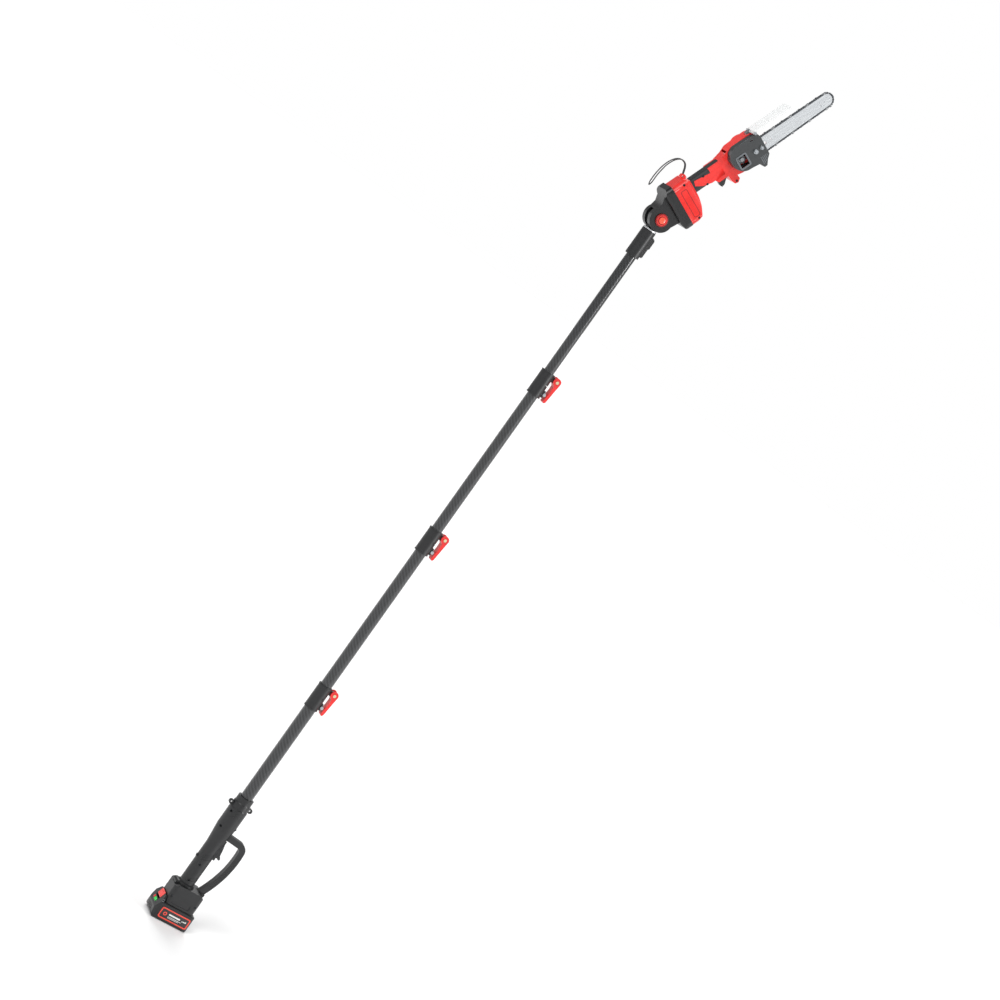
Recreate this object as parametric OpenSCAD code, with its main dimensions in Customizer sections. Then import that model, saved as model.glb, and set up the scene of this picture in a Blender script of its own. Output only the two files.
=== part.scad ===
// Telescoping battery pole saw, standing on its battery with the pole along +Z.
// Origin: underside of the battery, on the pole's axis. +X is the side of the
// triggers and the hand guard, -Y is the side of the sprocket cover.

/* [Pole] */
// Outer diameter of the widest tube
tube_od = 33.4; // [30:0.2:42]
// Wall of every tube
tube_wall = 0.9; // [0.7:0.1:1.4]
// Radial clearance between a tube and the one that slides in it
tube_gap = 0.1; // [0.08:0.01:0.1]
// Distance from one clamp collar to the next
collar_pitch = 490; // [400:5:590]
// Underside of the first clamp collar
collar_first_z = 670; // [600:5:760]
// Height of a clamp collar
collar_h = 70; // [58:1:86]
// Wall of a clamp collar round the outer tube
collar_wall = 2.2; // [1.8:0.1:3.2]
// Distance from the third collar's underside to the top socket
top_gap = 426; // [355:1:511]
// Height of the top socket
socket_h = 77; // [70:1:92]
// Least length of a tube inside the one below it
tube_overlap = 65; // [52:1:72]

/* [Clamp lever] */
// Radius of the lever's eye
lever_eye_r = 10.8; // [9:0.2:13]
// Length of the lever from its pin to its tip
lever_len = 62; // [51:1:75]
// Thickness of the lever's arm
lever_arm = 8.5; // [7:0.5:10]
// Radius of the lever's pin
lever_pin_r = 2.4; // [2:0.1:2.9]

/* [Handle] */
// Length of the handle above the battery base
handle_len = 277; // [255:1:330]
// Radius of the slim lower grip
grip_r = 20.5; // [19.8:0.1:25]
// Radius of the handle round the tube
handle_r = 26; // [23:0.5:31]
// Wall of the handle and the base
shell_wall = 3; // [2.5:0.1:3.2]
// Reach of the hand guard from the pole's axis
guard_reach = 85; // [78:1:102]
// Width of the hand guard's bar
guard_w = 17; // [14:1:20]
// Radius of the strap eyes' holes
strap_eye_r = 3.2; // [2.7:0.1:3.8]
// Travel of the main trigger
trigger_travel = 5; // [4:0.5:5.5]

/* [Battery] */
// Length of the battery along X
battery_l = 114; // [110:1:137]
// Width of the battery along Y
battery_w = 76; // [75:1:90]
// Diameter of one cell
cell_d = 18; // [15:0.5:18.4]

/* [Knuckle] */
// Tilt of the saw head from the pole
tilt = 21.7; // [0:0.1:88]
// Radius of the knuckle's ears
ear_r = 32; // [26:0.5:33]
// Thickness of the tongue between the ears
tongue_t = 18; // [15:0.5:21]
// Radius of the pivot bolt
pivot_r = 6; // [5:0.1:7.2]
// Radius of the tilt button
tilt_button_r = 17; // [14.2:0.2:20]

/* [Saw head] */
// Distance from the knuckle's pivot to the bar's tip
bar_tip = 530; // [500:1:636]
// Thickness of the guide bar
bar_t = 3.2; // [2.8:0.1:3.8]
// Width of the chain across its links
chain_t = 6; // [5:0.1:6.4]
// Teeth of the drive gear
gear_teeth = 58; // [50:1:58]
// Teeth of the motor's pinion
pinion_teeth = 14; // [12:1:16]
// Radius of the motor's can
motor_r = 26; // [23:0.5:28]
// Length of the chip baffle
baffle_len = 113; // [94:1:136]

/* [Hidden] */
$fn = 48;
red = "#e8322e";
black = "#232426";
steel = "#b9bcc0";
fit = 0.05;          // radial clearance of a pin in its hole
gap = 0.4;           // clearance round a moving button or trigger

// pole, from the bottom up
base_top = 106;
handle_top = base_top + handle_len;
seat_z = handle_top - 115;                 // underside of the tube in the handle
step = 2 * (tube_wall + tube_gap);
function od(n) = tube_od - (n - 1) * step; // outer diameter of tube n
function collar_z(n) = collar_first_z + (n - 1) * collar_pitch;
function tube_top(n) = n == 4 ? socket_z + socket_h - 5 : collar_z(n) + collar_h / 2;
function tube_bottom(n) = n == 1 ? seat_z : tube_top(n - 1) - tube_overlap;
socket_z = collar_z(3) + top_gap;
socket_top = socket_z + socket_h;
ring_h = 4;
neck_r = od(4) / 2 + 1.8;                  // neck of the tongue in the ring
socket_r = neck_r + 3.5;
pivot_z = socket_top + ring_h + ear_r + 1;
lead_r = od(4) / 2 - tube_wall - 3;

// clamp lever
lever_x = od(1) / 2 + collar_wall + 13.5;  // pin's distance from the axis
lever_dz = 59;                             // pin's height above the collar's underside
bolt_x = od(1) / 2 + collar_wall + 4.5;
bolt_dz = 15;
bolt_r = 2;
ear_y = 6.2;                               // half thickness of both ears together
cheek_t = 3.4;

// handle
throat_z = seat_z - 6;
trigger_z = base_top + 98;
trigger_h = 50;
trigger_w = 14;
lock_z = base_top + 84;
eyelet_z = handle_top - 27;
eyelet_x = handle_r + 3;
grip_in = grip_r - shell_wall;

// battery and its receiver
bat_x0 = -49;
bat_x1 = bat_x0 + battery_l;
rail_y = 14;
lip_y = 25.5;
deck_z = 48;                               // top of the battery under the base
base_w = battery_w - 10;
cell_len = 65;
cell_pitch = cell_d + 1;
label_t = 0.8;

// knuckle and head
slot_y = tongue_t / 2 + gap;
ear_y1 = 26;
tongue_r = ear_r - 10;                     // round end of the tongue
near_face = -18;                           // face of the saw body under the bar
bar_y = near_face - 4;                     // middle plane of the bar and chain
drive = [-12, 252];                        // drive sprocket's axis
module_mm = 0.8;
gear_dist = (gear_teeth + pinion_teeth) * module_mm / 2;
motor_angle = 102;                         // of the motor's axis above the drive's
motor = drive + gear_dist * [cos(motor_angle), sin(motor_angle)];
dome_r = motor_r + 5.5;
nose_r = 15.5;
nose = [drive[0], bar_tip - nose_r];
bar_half = 18;
drive_r = 14.6;
grip_x0 = -39.5;
grip_x1 = -2;
grip_y = 17.5;
baffle_x = -57;
baffle_z = 309;
baffle_y0 = -47;
baffle_y1 = 3;

// wrist strap, both ends in the lug: out on one side, round the end loop, and back
strap_r = 1.5;
strap_out = [
  [-14, -3, 2314], [-16, -3, 2319], [-18, -3, 2325], [-21, -3, 2332], [-26, -3, 2338],
  [-33, -4, 2341], [-41, -4, 2341], [-49, -5, 2337], [-56, -5, 2330], [-62, -6, 2320],
  [-67, -6, 2308], [-70, -7, 2295], [-72, -7, 2282], [-73, -7, 2269], [-73, -7, 2258],
  [-73, -6, 2251], [-73, -3, 2246]];
strap = concat(strap_out, [[-73, 0, 2244]],
  [for (i = [len(strap_out) - 1:-1:0]) [strap_out[i][0], -strap_out[i][1], strap_out[i][2]]]);

// ---------- shapes shared by several pieces ----------

// a 2D outline in X and Z, given thickness from y0 to y1
module slab(y0, y1) {
  translate([0, y1, 0]) rotate([90, 0, 0]) linear_extrude(y1 - y0) children();
}

module pin_y(at, y0, y1, r) {
  translate([at[0], y1, at[1]]) rotate([90, 0, 0]) cylinder(r = r, h = y1 - y0);
}

module box(lo, hi) {
  translate(lo) cube(hi - lo);
}

// a plan outline in X and Y with round corners
module plan(x0, x1, half_y, r) {
  translate([x0 + r, -half_y]) square([x1 - x0 - 2 * r, 2 * half_y]);
  translate([x0, -half_y + r]) square([x1 - x0, 2 * (half_y - r)]);
  for (x = [x0 + r, x1 - r]) for (y = [-half_y + r, half_y - r]) translate([x, y]) circle(r);
}

// an end outline in Y and Z with round corners, run along X
module bar_x(x0, x1, y0, y1, z0, z1, r) {
  translate([x0, 0, 0]) rotate([90, 0, 90]) linear_extrude(x1 - x0) {
    translate([y0 + r, z0]) square([y1 - y0 - 2 * r, z1 - z0]);
    translate([y0, z0 + r]) square([y1 - y0, z1 - z0 - 2 * r]);
    for (y = [y0 + r, y1 - r]) for (z = [z0 + r, z1 - r]) translate([y, z]) circle(r);
  }
}

module near_half() {
  intersection() {
    children();
    box([-300, -300, -700], [300, 0, 3200]);
  }
}

module far_half() {
  intersection() {
    children();
    box([-300, 0, -700], [300, 300, 3200]);
  }
}

// the saw head's own frame: pivot at its origin, +Z along the bar
module head() {
  translate([0, 0, pivot_z]) rotate([0, tilt, 0]) children();
}

function arc(c, r, a0, a1, n) = [for (i = [0:n]) let (a = a0 + (a1 - a0) * i / n)
  [c[0] + r * cos(a), c[1] + r * sin(a)]];

// a tube swept along points, with rings square to the path
function unit(v) = v / norm(v);
function dir(p, i) = unit(p[min(i + 1, len(p) - 1)] - p[max(i - 1, 0)]);
function square_to(d) = unit(cross(d, abs(d[0]) > 0.9 ? [0, 0, 1] : [1, 0, 0]));
module sweep(p, r, sides) {
  n = len(p);
  frames = [for (i = 0, u = square_to(dir(p, 0)); i < n;
    i = i + 1, u = i < n ? unit(u - dir(p, i) * (u * dir(p, i))) : u) u];
  rings = [for (i = [0:n - 1]) let (u = frames[i], v = cross(dir(p, i), u))
    for (k = [0:sides - 1]) p[i] + r * (cos(k * 360 / sides) * u + sin(k * 360 / sides) * v)];
  sides_faces = [for (i = [0:n - 2]) for (k = [0:sides - 1]) let (m = (k + 1) % sides)
    [i * sides + k, (i + 1) * sides + k, (i + 1) * sides + m, i * sides + m]];
  ends = [[for (k = [0:sides - 1]) k], [for (k = [sides - 1:-1:0]) (n - 1) * sides + k]];
  polyhedron(rings, concat(sides_faces, ends));
}

// a screw whose head lies at y0 and whose shank runs towards y1
module screw_y(at, y0, y1, r = 1.6, head_r = 3.2, head_h = 2) {
  s = sign(y1 - y0);
  pin_y(at, min(y0, y0 + s * head_h), max(y0, y0 + s * head_h), head_r);
  pin_y(at, min(y0 + s, y1), max(y0 + s, y1), r);
}

// ---------- handle and battery receiver ----------

handle_outline = [
  [grip_r + 4, base_top - 2], [grip_r + 4, base_top + 5], [grip_r, base_top + 8],
  [grip_r, base_top + 126], [grip_r + 2, base_top + 150], [handle_r, base_top + 184],
  [handle_r, handle_top - 37], [handle_r - 1.5, handle_top - 31],
  [handle_r - 1.5, handle_top - 19], [handle_r - 3.5, handle_top - 15],
  [handle_r - 3.5, handle_top]];
function handle_r_at(z) = lookup(z, [for (p = handle_outline) [p[1], p[0]]]);
handle_post_at = [[-7, base_top + 20], [-7, base_top + 69]];
edge_screw_x = tube_od / 2 + 4.5;
handle_screw_at = concat(handle_post_at, [[-edge_screw_x, seat_z + 22],
  [-edge_screw_x, handle_top - 45], [edge_screw_x, seat_z + 30]]);
base_screw_at = [[-26, 72], [47.5, 72]];
function screw_face(p) = -sqrt(max(1, pow(handle_r_at(p[1]), 2) - p[0] * p[0]));
guard_end_x = 50;
guard_bend = 18;                           // radius of the guard's upper corner
guard_mid = [guard_reach - guard_w / 2 - guard_bend, base_top + 141];
guard_path = concat([[handle_r - 6, base_top + 163]],
  arc(guard_mid, guard_bend, 84, 0, 7),
  [for (t = [0.1:0.1:1]) let (a = guard_mid + [guard_bend, 0],
    b = guard_mid + [guard_bend + 6, -72], c = [guard_end_x - 4, base_top - 3])
    (1 - t) * (1 - t) * a + 2 * t * (1 - t) * b + t * t * c]);

module handle_solid() {
  rotate_extrude($fn = 96) polygon(concat([[0, base_top - 2]], handle_outline,
    [[0, handle_top]]));
  // receiver over the battery
  intersection() {
    slab(-60, 60) polygon([[-33, 48.4], [54, 48.4], [57, 54], [55, 98], [47, base_top],
      [-18, base_top], [-33, 99]]);
    translate([0, 0, 40]) linear_extrude(80) plan(-33, 57, base_w / 2, 12);
  }
  pin_y([-24, 103], -14, 14, 8);
  // socket for the guard's lower end
  box([38, -12, 100], [58, 12, base_top + 1]);
  // strap eyes
  for (s = [-1, 1]) {
    pin_y([s * eyelet_x, eyelet_z], -4, 4, strap_eye_r + 3.5);
    box([min(s * 20, s * eyelet_x), -4, eyelet_z - 5], [max(s * 20, s * eyelet_x), 4, eyelet_z + 5]);
  }
  // rim round the main trigger
  box([10, -trigger_w / 2 - 3.5, trigger_z - 5], [grip_r + 3, trigger_w / 2 + 3.5,
    trigger_z + trigger_h + 4]);
}

module handle_hollow() {
  // grip, throat and tube seat
  translate([0, 0, 90]) cylinder(r = grip_in, h = throat_z - 90);
  translate([0, 0, throat_z - 1]) cylinder(r = lead_r + 2, h = 20);
  translate([0, 0, seat_z]) cylinder(r = tube_od / 2 + fit, h = 200, $fn = 96);
  // room for the electronics
  box([-29, -base_w / 2 + shell_wall, 65], [50, base_w / 2 - shell_wall, 97]);
  // channel for the battery's rails and lips
  box([-40, -rail_y - 8, 40], [51, rail_y + 8, 61.5]);
  box([-40, -lip_y - 0.5, 54.4], [51, lip_y + 0.5, 61.5]);
  // openings for the trigger, the lock-off button and the strap
  box([8, -trigger_w / 2 - gap, trigger_z + 1.6], [60, trigger_w / 2 + gap,
    trigger_z + trigger_h + gap]);
  translate([-40, 0, lock_z]) rotate([0, 90, 0]) cylinder(r = 4 + gap, h = 30);
  for (s = [-1, 1]) pin_y([s * eyelet_x, eyelet_z], -9, 9, strap_eye_r);
}

// posts that the screws run through, from wall to wall
module screw_posts() {
  intersection() {
    for (p = handle_post_at) pin_y(p, -grip_r, grip_r, 4);
    cylinder(r = grip_in + 0.2, h = 400);
  }
  for (p = base_screw_at) pin_y(p, -base_w / 2 + 1, base_w / 2 - 1, 4);
}

module screw_hole(p, face) {
  pin_y(p, -60, 8, 1.6 + fit);
  pin_y(p, -60, face + 2, 3.3);
}

module handle_body() {
  difference() {
    union() {
      difference() {
        handle_solid();
        handle_hollow();
      }
      screw_posts();
    }
    for (p = handle_screw_at) screw_hole(p, screw_face(p) + 0.6);
    for (p = base_screw_at) screw_hole(p, -base_w / 2);
    // shallow relief on both flanks of the receiver
    for (y = [-base_w / 2, base_w / 2 - 1.2]) slab(y - 0.01, y + 1.21)
      polygon([[-20, 55], [36, 55], [36, 68], [20, 76], [4, 78], [-20, 88]]);
  }
}

module handle_near_shell() {
  color(black) near_half() handle_body();
}

module handle_far_shell() {
  color(black) far_half() handle_body();
}

module handle_screws() {
  color(steel) {
    for (p = handle_screw_at) screw_y(p, screw_face(p) + 0.6, 6);
    for (p = base_screw_at) screw_y(p, -base_w / 2, 6);
  }
}

// left and right edges of a strip of even width along a flat path
function side_of(p, i, w) = let (a = p[max(i - 1, 0)], b = p[min(i + 1, len(p) - 1)],
  d = unit(b - a)) p[i] + w / 2 * [-d[1], d[0]];
module strip(p, w) {
  polygon(concat([for (i = [0:len(p) - 1]) side_of(p, i, w)],
    [for (i = [len(p) - 1:-1:0]) side_of(p, i, -w)]));
}

module hand_guard() {
  color(black) difference() {
    intersection() {
      slab(-9, 9) strip(guard_path, guard_w);
      box([0, -20, base_top + 1], [150, 20, 500]);
    }
    rotate_extrude($fn = 96) polygon(concat([[0, base_top - 2]],
      [for (p = handle_outline) [p[0] + 0.02, p[1]]], [[0, handle_top]]));
    box([0, -trigger_w / 2 - 4, trigger_z - 6], [grip_r + 3.3, trigger_w / 2 + 4,
      trigger_z + trigger_h + 5]);
  }
}

module control_board() {
  color("#1f6b3a") box([-24, -22, 84], [40, 22, 85.6]);
  color("#8a8d90") {
    box([-18, -16, 85.6], [-4, -4, 94]);
    box([6, -18, 85.6], [16, -6, 92]);
  }
  color(black) for (y = [6, 16]) translate([28, y, 85.6]) cylinder(r = 4, h = 10);
}

module terminal_block() {
  color("#3a3c40") difference() {
    box([22, -11, 49], [46, 11, 61.5]);
    for (y = [-8, -1, 6]) box([20, y, 48], [40, y + 1.6, 57]);
  }
}

module main_switch() {
  color("#4a4c50") box([-13, -8, trigger_z + 10], [6, 8, trigger_z + 42]);
  color("#c8c8c8") box([6, -3, trigger_z + 30], [7.2, 3, trigger_z + 38]);
}

module main_trigger() {
  color(black) slab(-trigger_w / 2, trigger_w / 2) polygon([
    [13.5, trigger_z + 2], [grip_r + trigger_travel + 4, trigger_z + 2],
    [grip_r + 13, trigger_z - 1],
    [grip_r + 17, trigger_z], [grip_r + 17.4, trigger_z + 4], [grip_r + 12, trigger_z + 12],
    [grip_r + 9, trigger_z + 30], [grip_r + 5, trigger_z + 45], [grip_r + 2, trigger_z + trigger_h],
    [13.5, trigger_z + trigger_h]]);
}

module trigger_spring() {
  color(steel) sweep([for (i = [0:48]) let (a = i * 45)
    [7 + i * 6 / 48, 3.2 * cos(a), trigger_z + 20 + 3.2 * sin(a)]], 0.45, 6);
}

module lock_off_button() {
  color("#2c2d30") translate([-grip_r - 2.6, 0, lock_z]) rotate([0, 90, 0]) {
    cylinder(r = 4, h = 10);
    translate([0, 0, 2.6 + shell_wall + 1.6]) cylinder(r = 6, h = 2.4);
  }
}

// ---------- pole ----------

module tube(n) {
  color("#3b3d40") translate([0, 0, tube_bottom(n)]) difference() {
    cylinder(d = od(n), h = tube_top(n) - tube_bottom(n), $fn = 96);
    translate([0, 0, -1]) cylinder(d = od(n) - 2 * tube_wall, $fn = 96,
      h = tube_top(n) - tube_bottom(n) + 2);
  }
}

module coiled_lead(n) {
  z0 = n == 1 ? seat_z - 4 : tube_bottom(n) + 2;
  z1 = n == 4 ? socket_z + 20 : tube_bottom(n + 1) - 2;
  color("#1b1b1d") translate([0, 0, z0]) cylinder(r = lead_r, h = z1 - z0);
}

// collar fixed on the top end of tube n, clamping tube n + 1
module clamp_collar(n) {
  r = od(1) / 2 + collar_wall;
  color(black) translate([0, 0, collar_z(n)]) difference() {
    union() {
      cylinder(r = r, h = collar_h, $fn = 96);
      translate([0, 0, collar_h - 3]) cylinder(r = r + 0.8, h = 3, $fn = 96);
      cylinder(r = r + 0.8, h = 3, $fn = 96);
      // ears for the adjusting bolt and the lever's pin
      bar_x(r - 2, bolt_x, -ear_y, ear_y, 5, 25, 2);
      pin_y([bolt_x, bolt_dz], -ear_y, ear_y, 5);
      bar_x(r - 2, lever_x, -ear_y, ear_y, lever_dz - 7, lever_dz + 7, 2);
      pin_y([lever_x, lever_dz], -ear_y, ear_y, 7);
    }
    translate([0, 0, -1]) cylinder(r = od(n) / 2 + fit, h = collar_h / 2 + 1, $fn = 96);
    cylinder(r = od(n + 1) / 2 + tube_gap, h = collar_h + 1, $fn = 96);
    // clamp slit, and the relief at its lower end
    box([0, -0.8, collar_h / 2 + 1], [60, 0.8, collar_h + 1]);
    box([4, -40, collar_h / 2 + 1], [60, 40, collar_h / 2 + 3]);
    box([r + 0.5, -0.8, 4], [60, 0.8, 30]);
    pin_y([lever_x, lever_dz], -20, 20, lever_pin_r + fit);
    pin_y([bolt_x, bolt_dz], -20, 20, bolt_r + fit);
  }
}

// lever with two cheeks astride the ears, hanging shut beside the collar
module clamp_lever(n) {
  y = ear_y + gap;
  color(red) translate([0, 0, collar_z(n) + lever_dz]) difference() {
    slab(-y - cheek_t, y + cheek_t) {
      translate([lever_x, 0]) circle(lever_eye_r, $fn = 64);
      polygon([[lever_x - 5, -9], [lever_x + 3, -4], [lever_x + lever_eye_r - 0.4, -3],
        [lever_x + lever_arm, -20], [lever_x + 5, -lever_len + 5], [lever_x + 3, -lever_len + 1],
        [lever_x, -lever_len], [lever_x - 2.4, -lever_len + 2], [lever_x - 2.4, -lever_len + 7],
        [lever_x - 0.4, -26], [lever_x - 1, -14]]);
    }
    // room for the ears between the cheeks, through the whole swing
    box([lever_x - 30, -y, -8.2], [lever_x + 30, y, 30]);
    pin_y([lever_x, 0], -30, 30, lever_pin_r + fit);
  }
}

module clamp_pins(n) {
  y = ear_y + gap + cheek_t;
  translate([0, 0, collar_z(n)]) {
    color("#c9b26a") {
      pin_y([lever_x, lever_dz], -y - 0.3, y + 0.3, lever_pin_r);
      pin_y([lever_x, lever_dz], -y - 1.8, -y - 0.3, lever_pin_r + 1.8);
      pin_y([lever_x, lever_dz], y + 0.3, y + 1.8, lever_pin_r + 1.8);
    }
    color(steel) {
      pin_y([bolt_x, bolt_dz], -ear_y - 3, ear_y + 4, bolt_r);
      pin_y([bolt_x, bolt_dz], -ear_y - 3, -ear_y, 4.4);
      translate([bolt_x, ear_y + 3.2, bolt_dz]) rotate([90, 0, 0])
        cylinder(r = 4.4, h = 3.2, $fn = 6);
    }
  }
}

// ---------- battery ----------

battery_side = [[-40, 0], [-46, 6], [bat_x0, 26], [-40, 54], [-37, 64], [-33.4, 64],
  [-33.4, deck_z], [bat_x1 - 4, deck_z], [bat_x1, 42], [bat_x1, 8], [bat_x1 - 7, 0]];
battery_split = 26;
face_a = [bat_x0, 26];                     // foot of the sloped front
face_d = unit([-40, 54] - face_a);
face_n = [-face_d[1], face_d[0]];
function face_at(t, d) = face_a + t * face_d + d * face_n;
module face_strip(t0, t1, d0, d1) {
  polygon([face_at(t0, d0), face_at(t1, d0), face_at(t1, d1), face_at(t0, d1)]);
}

module battery_solid() {
  intersection() {
    slab(-60, 60) polygon(battery_side);
    linear_extrude(70) plan(bat_x0, bat_x1, battery_w / 2, 12);
    bar_x(bat_x0 - 5, bat_x1 + 5, -battery_w / 2, battery_w / 2, 0, 80, 7);
    // shoulders of the nose slope in towards the latch
    translate([bat_x0 - 5, 0, 0]) rotate([90, 0, 90]) linear_extrude(battery_l + 10)
      polygon([[-60, 0], [60, 0], [60, 46], [battery_w / 2, 46], [battery_w / 2 - 12, 65],
        [-battery_w / 2 + 12, 65], [-battery_w / 2, 46], [-60, 46]]);
  }
}

module battery_hollow() {
  intersection() {
    slab(-battery_w / 2 + 2.6, battery_w / 2 - 2.6) polygon([[-38, 2.2], [-43, 8], [-46, 24],
      [-41, 41], [bat_x1 - 4, 41], [bat_x1 - 2.6, 38], [bat_x1 - 2.6, 9], [bat_x1 - 8, 2.2]]);
    linear_extrude(70) plan(bat_x0 + 2.6, bat_x1 - 2.6, battery_w / 2 - 2.6, 9.4);
  }
}

module battery_lower_case() {
  color(black) difference() {
    intersection() {
      battery_solid();
      box([-80, -60, 0], [120, 60, battery_split]);
    }
    battery_hollow();
    for (y = [-14:9:13]) box([-60, y, 9], [-45, y + 3.4, 21]);
  }
}

module battery_upper_case() {
  color(black) difference() {
    union() {
      intersection() {
        battery_solid();
        box([-80, -60, battery_split], [120, 60, 80]);
      }
      for (s = [-1, 1]) {
        box([-33.4, min(s * rail_y, s * (rail_y + 7.5)), deck_z - 1],
          [50.4, max(s * rail_y, s * (rail_y + 7.5)), 60.6]);
        box([-33.4, min(s * rail_y, s * lip_y), 55], [50.4, max(s * rail_y, s * lip_y), 60.6]);
      }
    }
    battery_hollow();
    box([-70, -15 - gap, 42.4], [-34.6, 15 + gap, 80]);
    slab(-13, 6) face_strip(5, 17, -4, 6);
    slab(9 - 0.3, 16 + 0.3) face_strip(7.7, 15.3, -5, 6);
  }
}

module battery_cells() {
  color("#2f6fb3") for (i = [0:4]) for (j = [0:1])
    pin_y([bat_x0 + cell_pitch + i * cell_pitch, 12 + j * cell_pitch], -cell_len / 2, cell_len / 2,
      cell_d / 2);
}

module battery_labels() {
  color("#1c1c1e") for (s = [-1, 1]) slab(min(s * battery_w / 2, s * (battery_w / 2 + label_t)),
    max(s * battery_w / 2, s * (battery_w / 2 + label_t))) {
    translate([-26, 9]) square([bat_x1 - 12 + 26, 30]);
    translate([-30, 13]) square([bat_x1 - 8 + 30, 22]);
    for (x = [-26, bat_x1 - 12]) for (z = [13, 35]) translate([x, z]) circle(4);
  }
}

module battery_gauge_lens() {
  color("#1d7a34") slab(-13, 6) face_strip(5, 17, -2, 0.5);
}

module gauge_button() {
  color(red) slab(9, 16) face_strip(8, 15, -2.6, 0.8);
}

module battery_latch() {
  color(red) slab(-15, 15) polygon([[-42, 47], [-43, 49], [-38.4, 64.6], [-35.1, 65.4],
    [-35.1, 47]]);
}

// ---------- top of the pole ----------

module top_socket() {
  color(black) difference() {
    union() {
      translate([0, 0, socket_z]) cylinder(r = socket_r, h = socket_h, $fn = 96);
      translate([0, 0, socket_z + 8]) box([10, -11, 0], [socket_r + 1.5, 11, 58]);
    }
    translate([0, 0, socket_z - 1]) cylinder(d = od(4) + 2 * fit, h = socket_h - 4, $fn = 96);
    translate([0, 0, socket_z]) cylinder(d = od(4) - 2 * tube_wall + 2 * fit,
      h = socket_h + 1, $fn = 96);
    translate([0, 0, socket_z + 10]) box([neck_r + 0.1, -9 - gap, -gap],
      [neck_r + 30, 9 + gap, 54 + gap]);
  }
}

module socket_latch() {
  color("#2a2b2e") translate([socket_r, 0, socket_z + 10]) difference() {
    slab(-9, 9) polygon([[-1.2, 0], [4.5, 0], [5, 26], [7.6, 28], [7.6, 50], [5, 54],
      [-1.2, 54]]);
    for (z = [31:4:47]) box([7, -10, z], [9, 10, z + 1.6]);
    for (z = [6:4:22]) box([4.2, -10, z], [9, 10, z + 1.6]);
  }
}

module socket_ring() {
  color("#d9dadc") translate([0, 0, socket_top]) difference() {
    cylinder(r = socket_r - 0.4, h = ring_h);
    translate([0, 0, -1]) cylinder(r = neck_r + fit, h = ring_h + 2);
  }
}

// shank in the tube, and the tongue that stands between the knuckle's ears
module knuckle_tongue() {
  color("#2e3033") difference() {
    union() {
      translate([0, 0, socket_top - 35]) cylinder(d = od(4) - 2 * tube_wall, h = 35 + ring_h);
      translate([0, 0, socket_top]) cylinder(r = neck_r, h = ring_h + 0.5);
      slab(-tongue_t / 2, tongue_t / 2) {
        translate([0, pivot_z]) circle(tongue_r, $fn = 64);
        translate([-12, socket_top + 1]) square([24, ear_r + 4]);
      }
    }
    pin_y([0, pivot_z], -40, 40, pivot_r + fit);
    translate([0, 0, socket_top - 40]) cylinder(r = 6, h = 60);
  }
}

// ---------- saw head: knuckle and battery-shaped adapter ----------

seat_z0 = 62;                              // joint line of adapter and saw
adapter_side = [[-31, 6], [-34, 22], [-47, 38], [-60, 47], [-60, seat_z0], [59, seat_z0],
  [59, 48], [53, 40], [33, 35], [30.5, 10]];

module adapter_body() {
  difference() {
    union() {
      intersection() {
        slab(-ear_y1, ear_y1) {
          circle(ear_r, $fn = 96);
          polygon(adapter_side);
        }
      }
      intersection() {
        slab(-60, 60) polygon(adapter_side);
        translate([0, 0, 30]) linear_extrude(40) plan(-60, 59, 37, 14);
        bar_x(-70, 70, -37, 37, 36, 100, 10);
      }
    }
    // slot for the tongue
    slab(-slot_y, slot_y) {
      circle(ear_r - 3, $fn = 64);
      translate([-60, -60]) square([120, 62]);
      translate([0, -60]) square([60, 72 + gap]);
    }
    box([-52, -30, 42], [50, 30, seat_z0 - 4]);
    pin_y([0, 0], -40, 40, pivot_r + fit);
    pin_y([0, 0], -40, -ear_y1 + 9, tilt_button_r + gap);
    pin_y([0, 0], ear_y1 - 4, 40, 11 + gap);
  }
}

module adapter_near_shell() {
  color(black) head() near_half() adapter_body();
}

module adapter_far_shell() {
  color(black) head() far_half() adapter_body();
}

module pivot_bolt() {
  color(steel) head() {
    pin_y([0, 0], -ear_y1 + 6, ear_y1 - 3, pivot_r);
    pin_y([0, 0], ear_y1 - 4, ear_y1 + 1, 10.8);
  }
}

module tilt_button() {
  teeth = 24;
  color(red) head() difference() {
    union() {
      slab(-ear_y1 - 3.5, -ear_y1 + 3) polygon([for (i = [0:2 * teeth - 1])
        let (a = i * 180 / teeth, r = tilt_button_r - (i % 2) * 1.3) [r * cos(a), r * sin(a)]]);
      pin_y([0, 0], -ear_y1 - 6, -ear_y1 - 3, 8.5);
    }
    difference() {
      pin_y([0, 0], -ear_y1 - 4, -ear_y1 - 2.2, 13.5);
      pin_y([0, 0], -ear_y1 - 4, -ear_y1, 10);
    }
  }
}

// ---------- saw head: housing ----------

seat_side = [[-55, seat_z0], [57, seat_z0], [59, 76], [50, 93], [24, 105], [-2, 112],
  [-44, 112], [-55, 100]];
body_side = [[-39, 200], [-44, 222], [-52, 240], [-54, 300], [-50, 316], [-6, 318], [22, 302],
  [22, 240], [19, 226], [8, 214], [-2, 200]];
frame_side = [[-39, 168], [-39, 214], [20, 226], [30, 227], [37, 219], [35, 210], [26, 206],
  [8, 204], [8, 176], [-4, 168]];
inlay_side = [[-33, 122], [-20, 118], [-9, 136], [-2, 160], [-2, 207], [-26, 207], [-26, 172]];
saw_trigger_z = 177;
saw_trigger_h = 26;
lock_at = [-14, 196];

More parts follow.
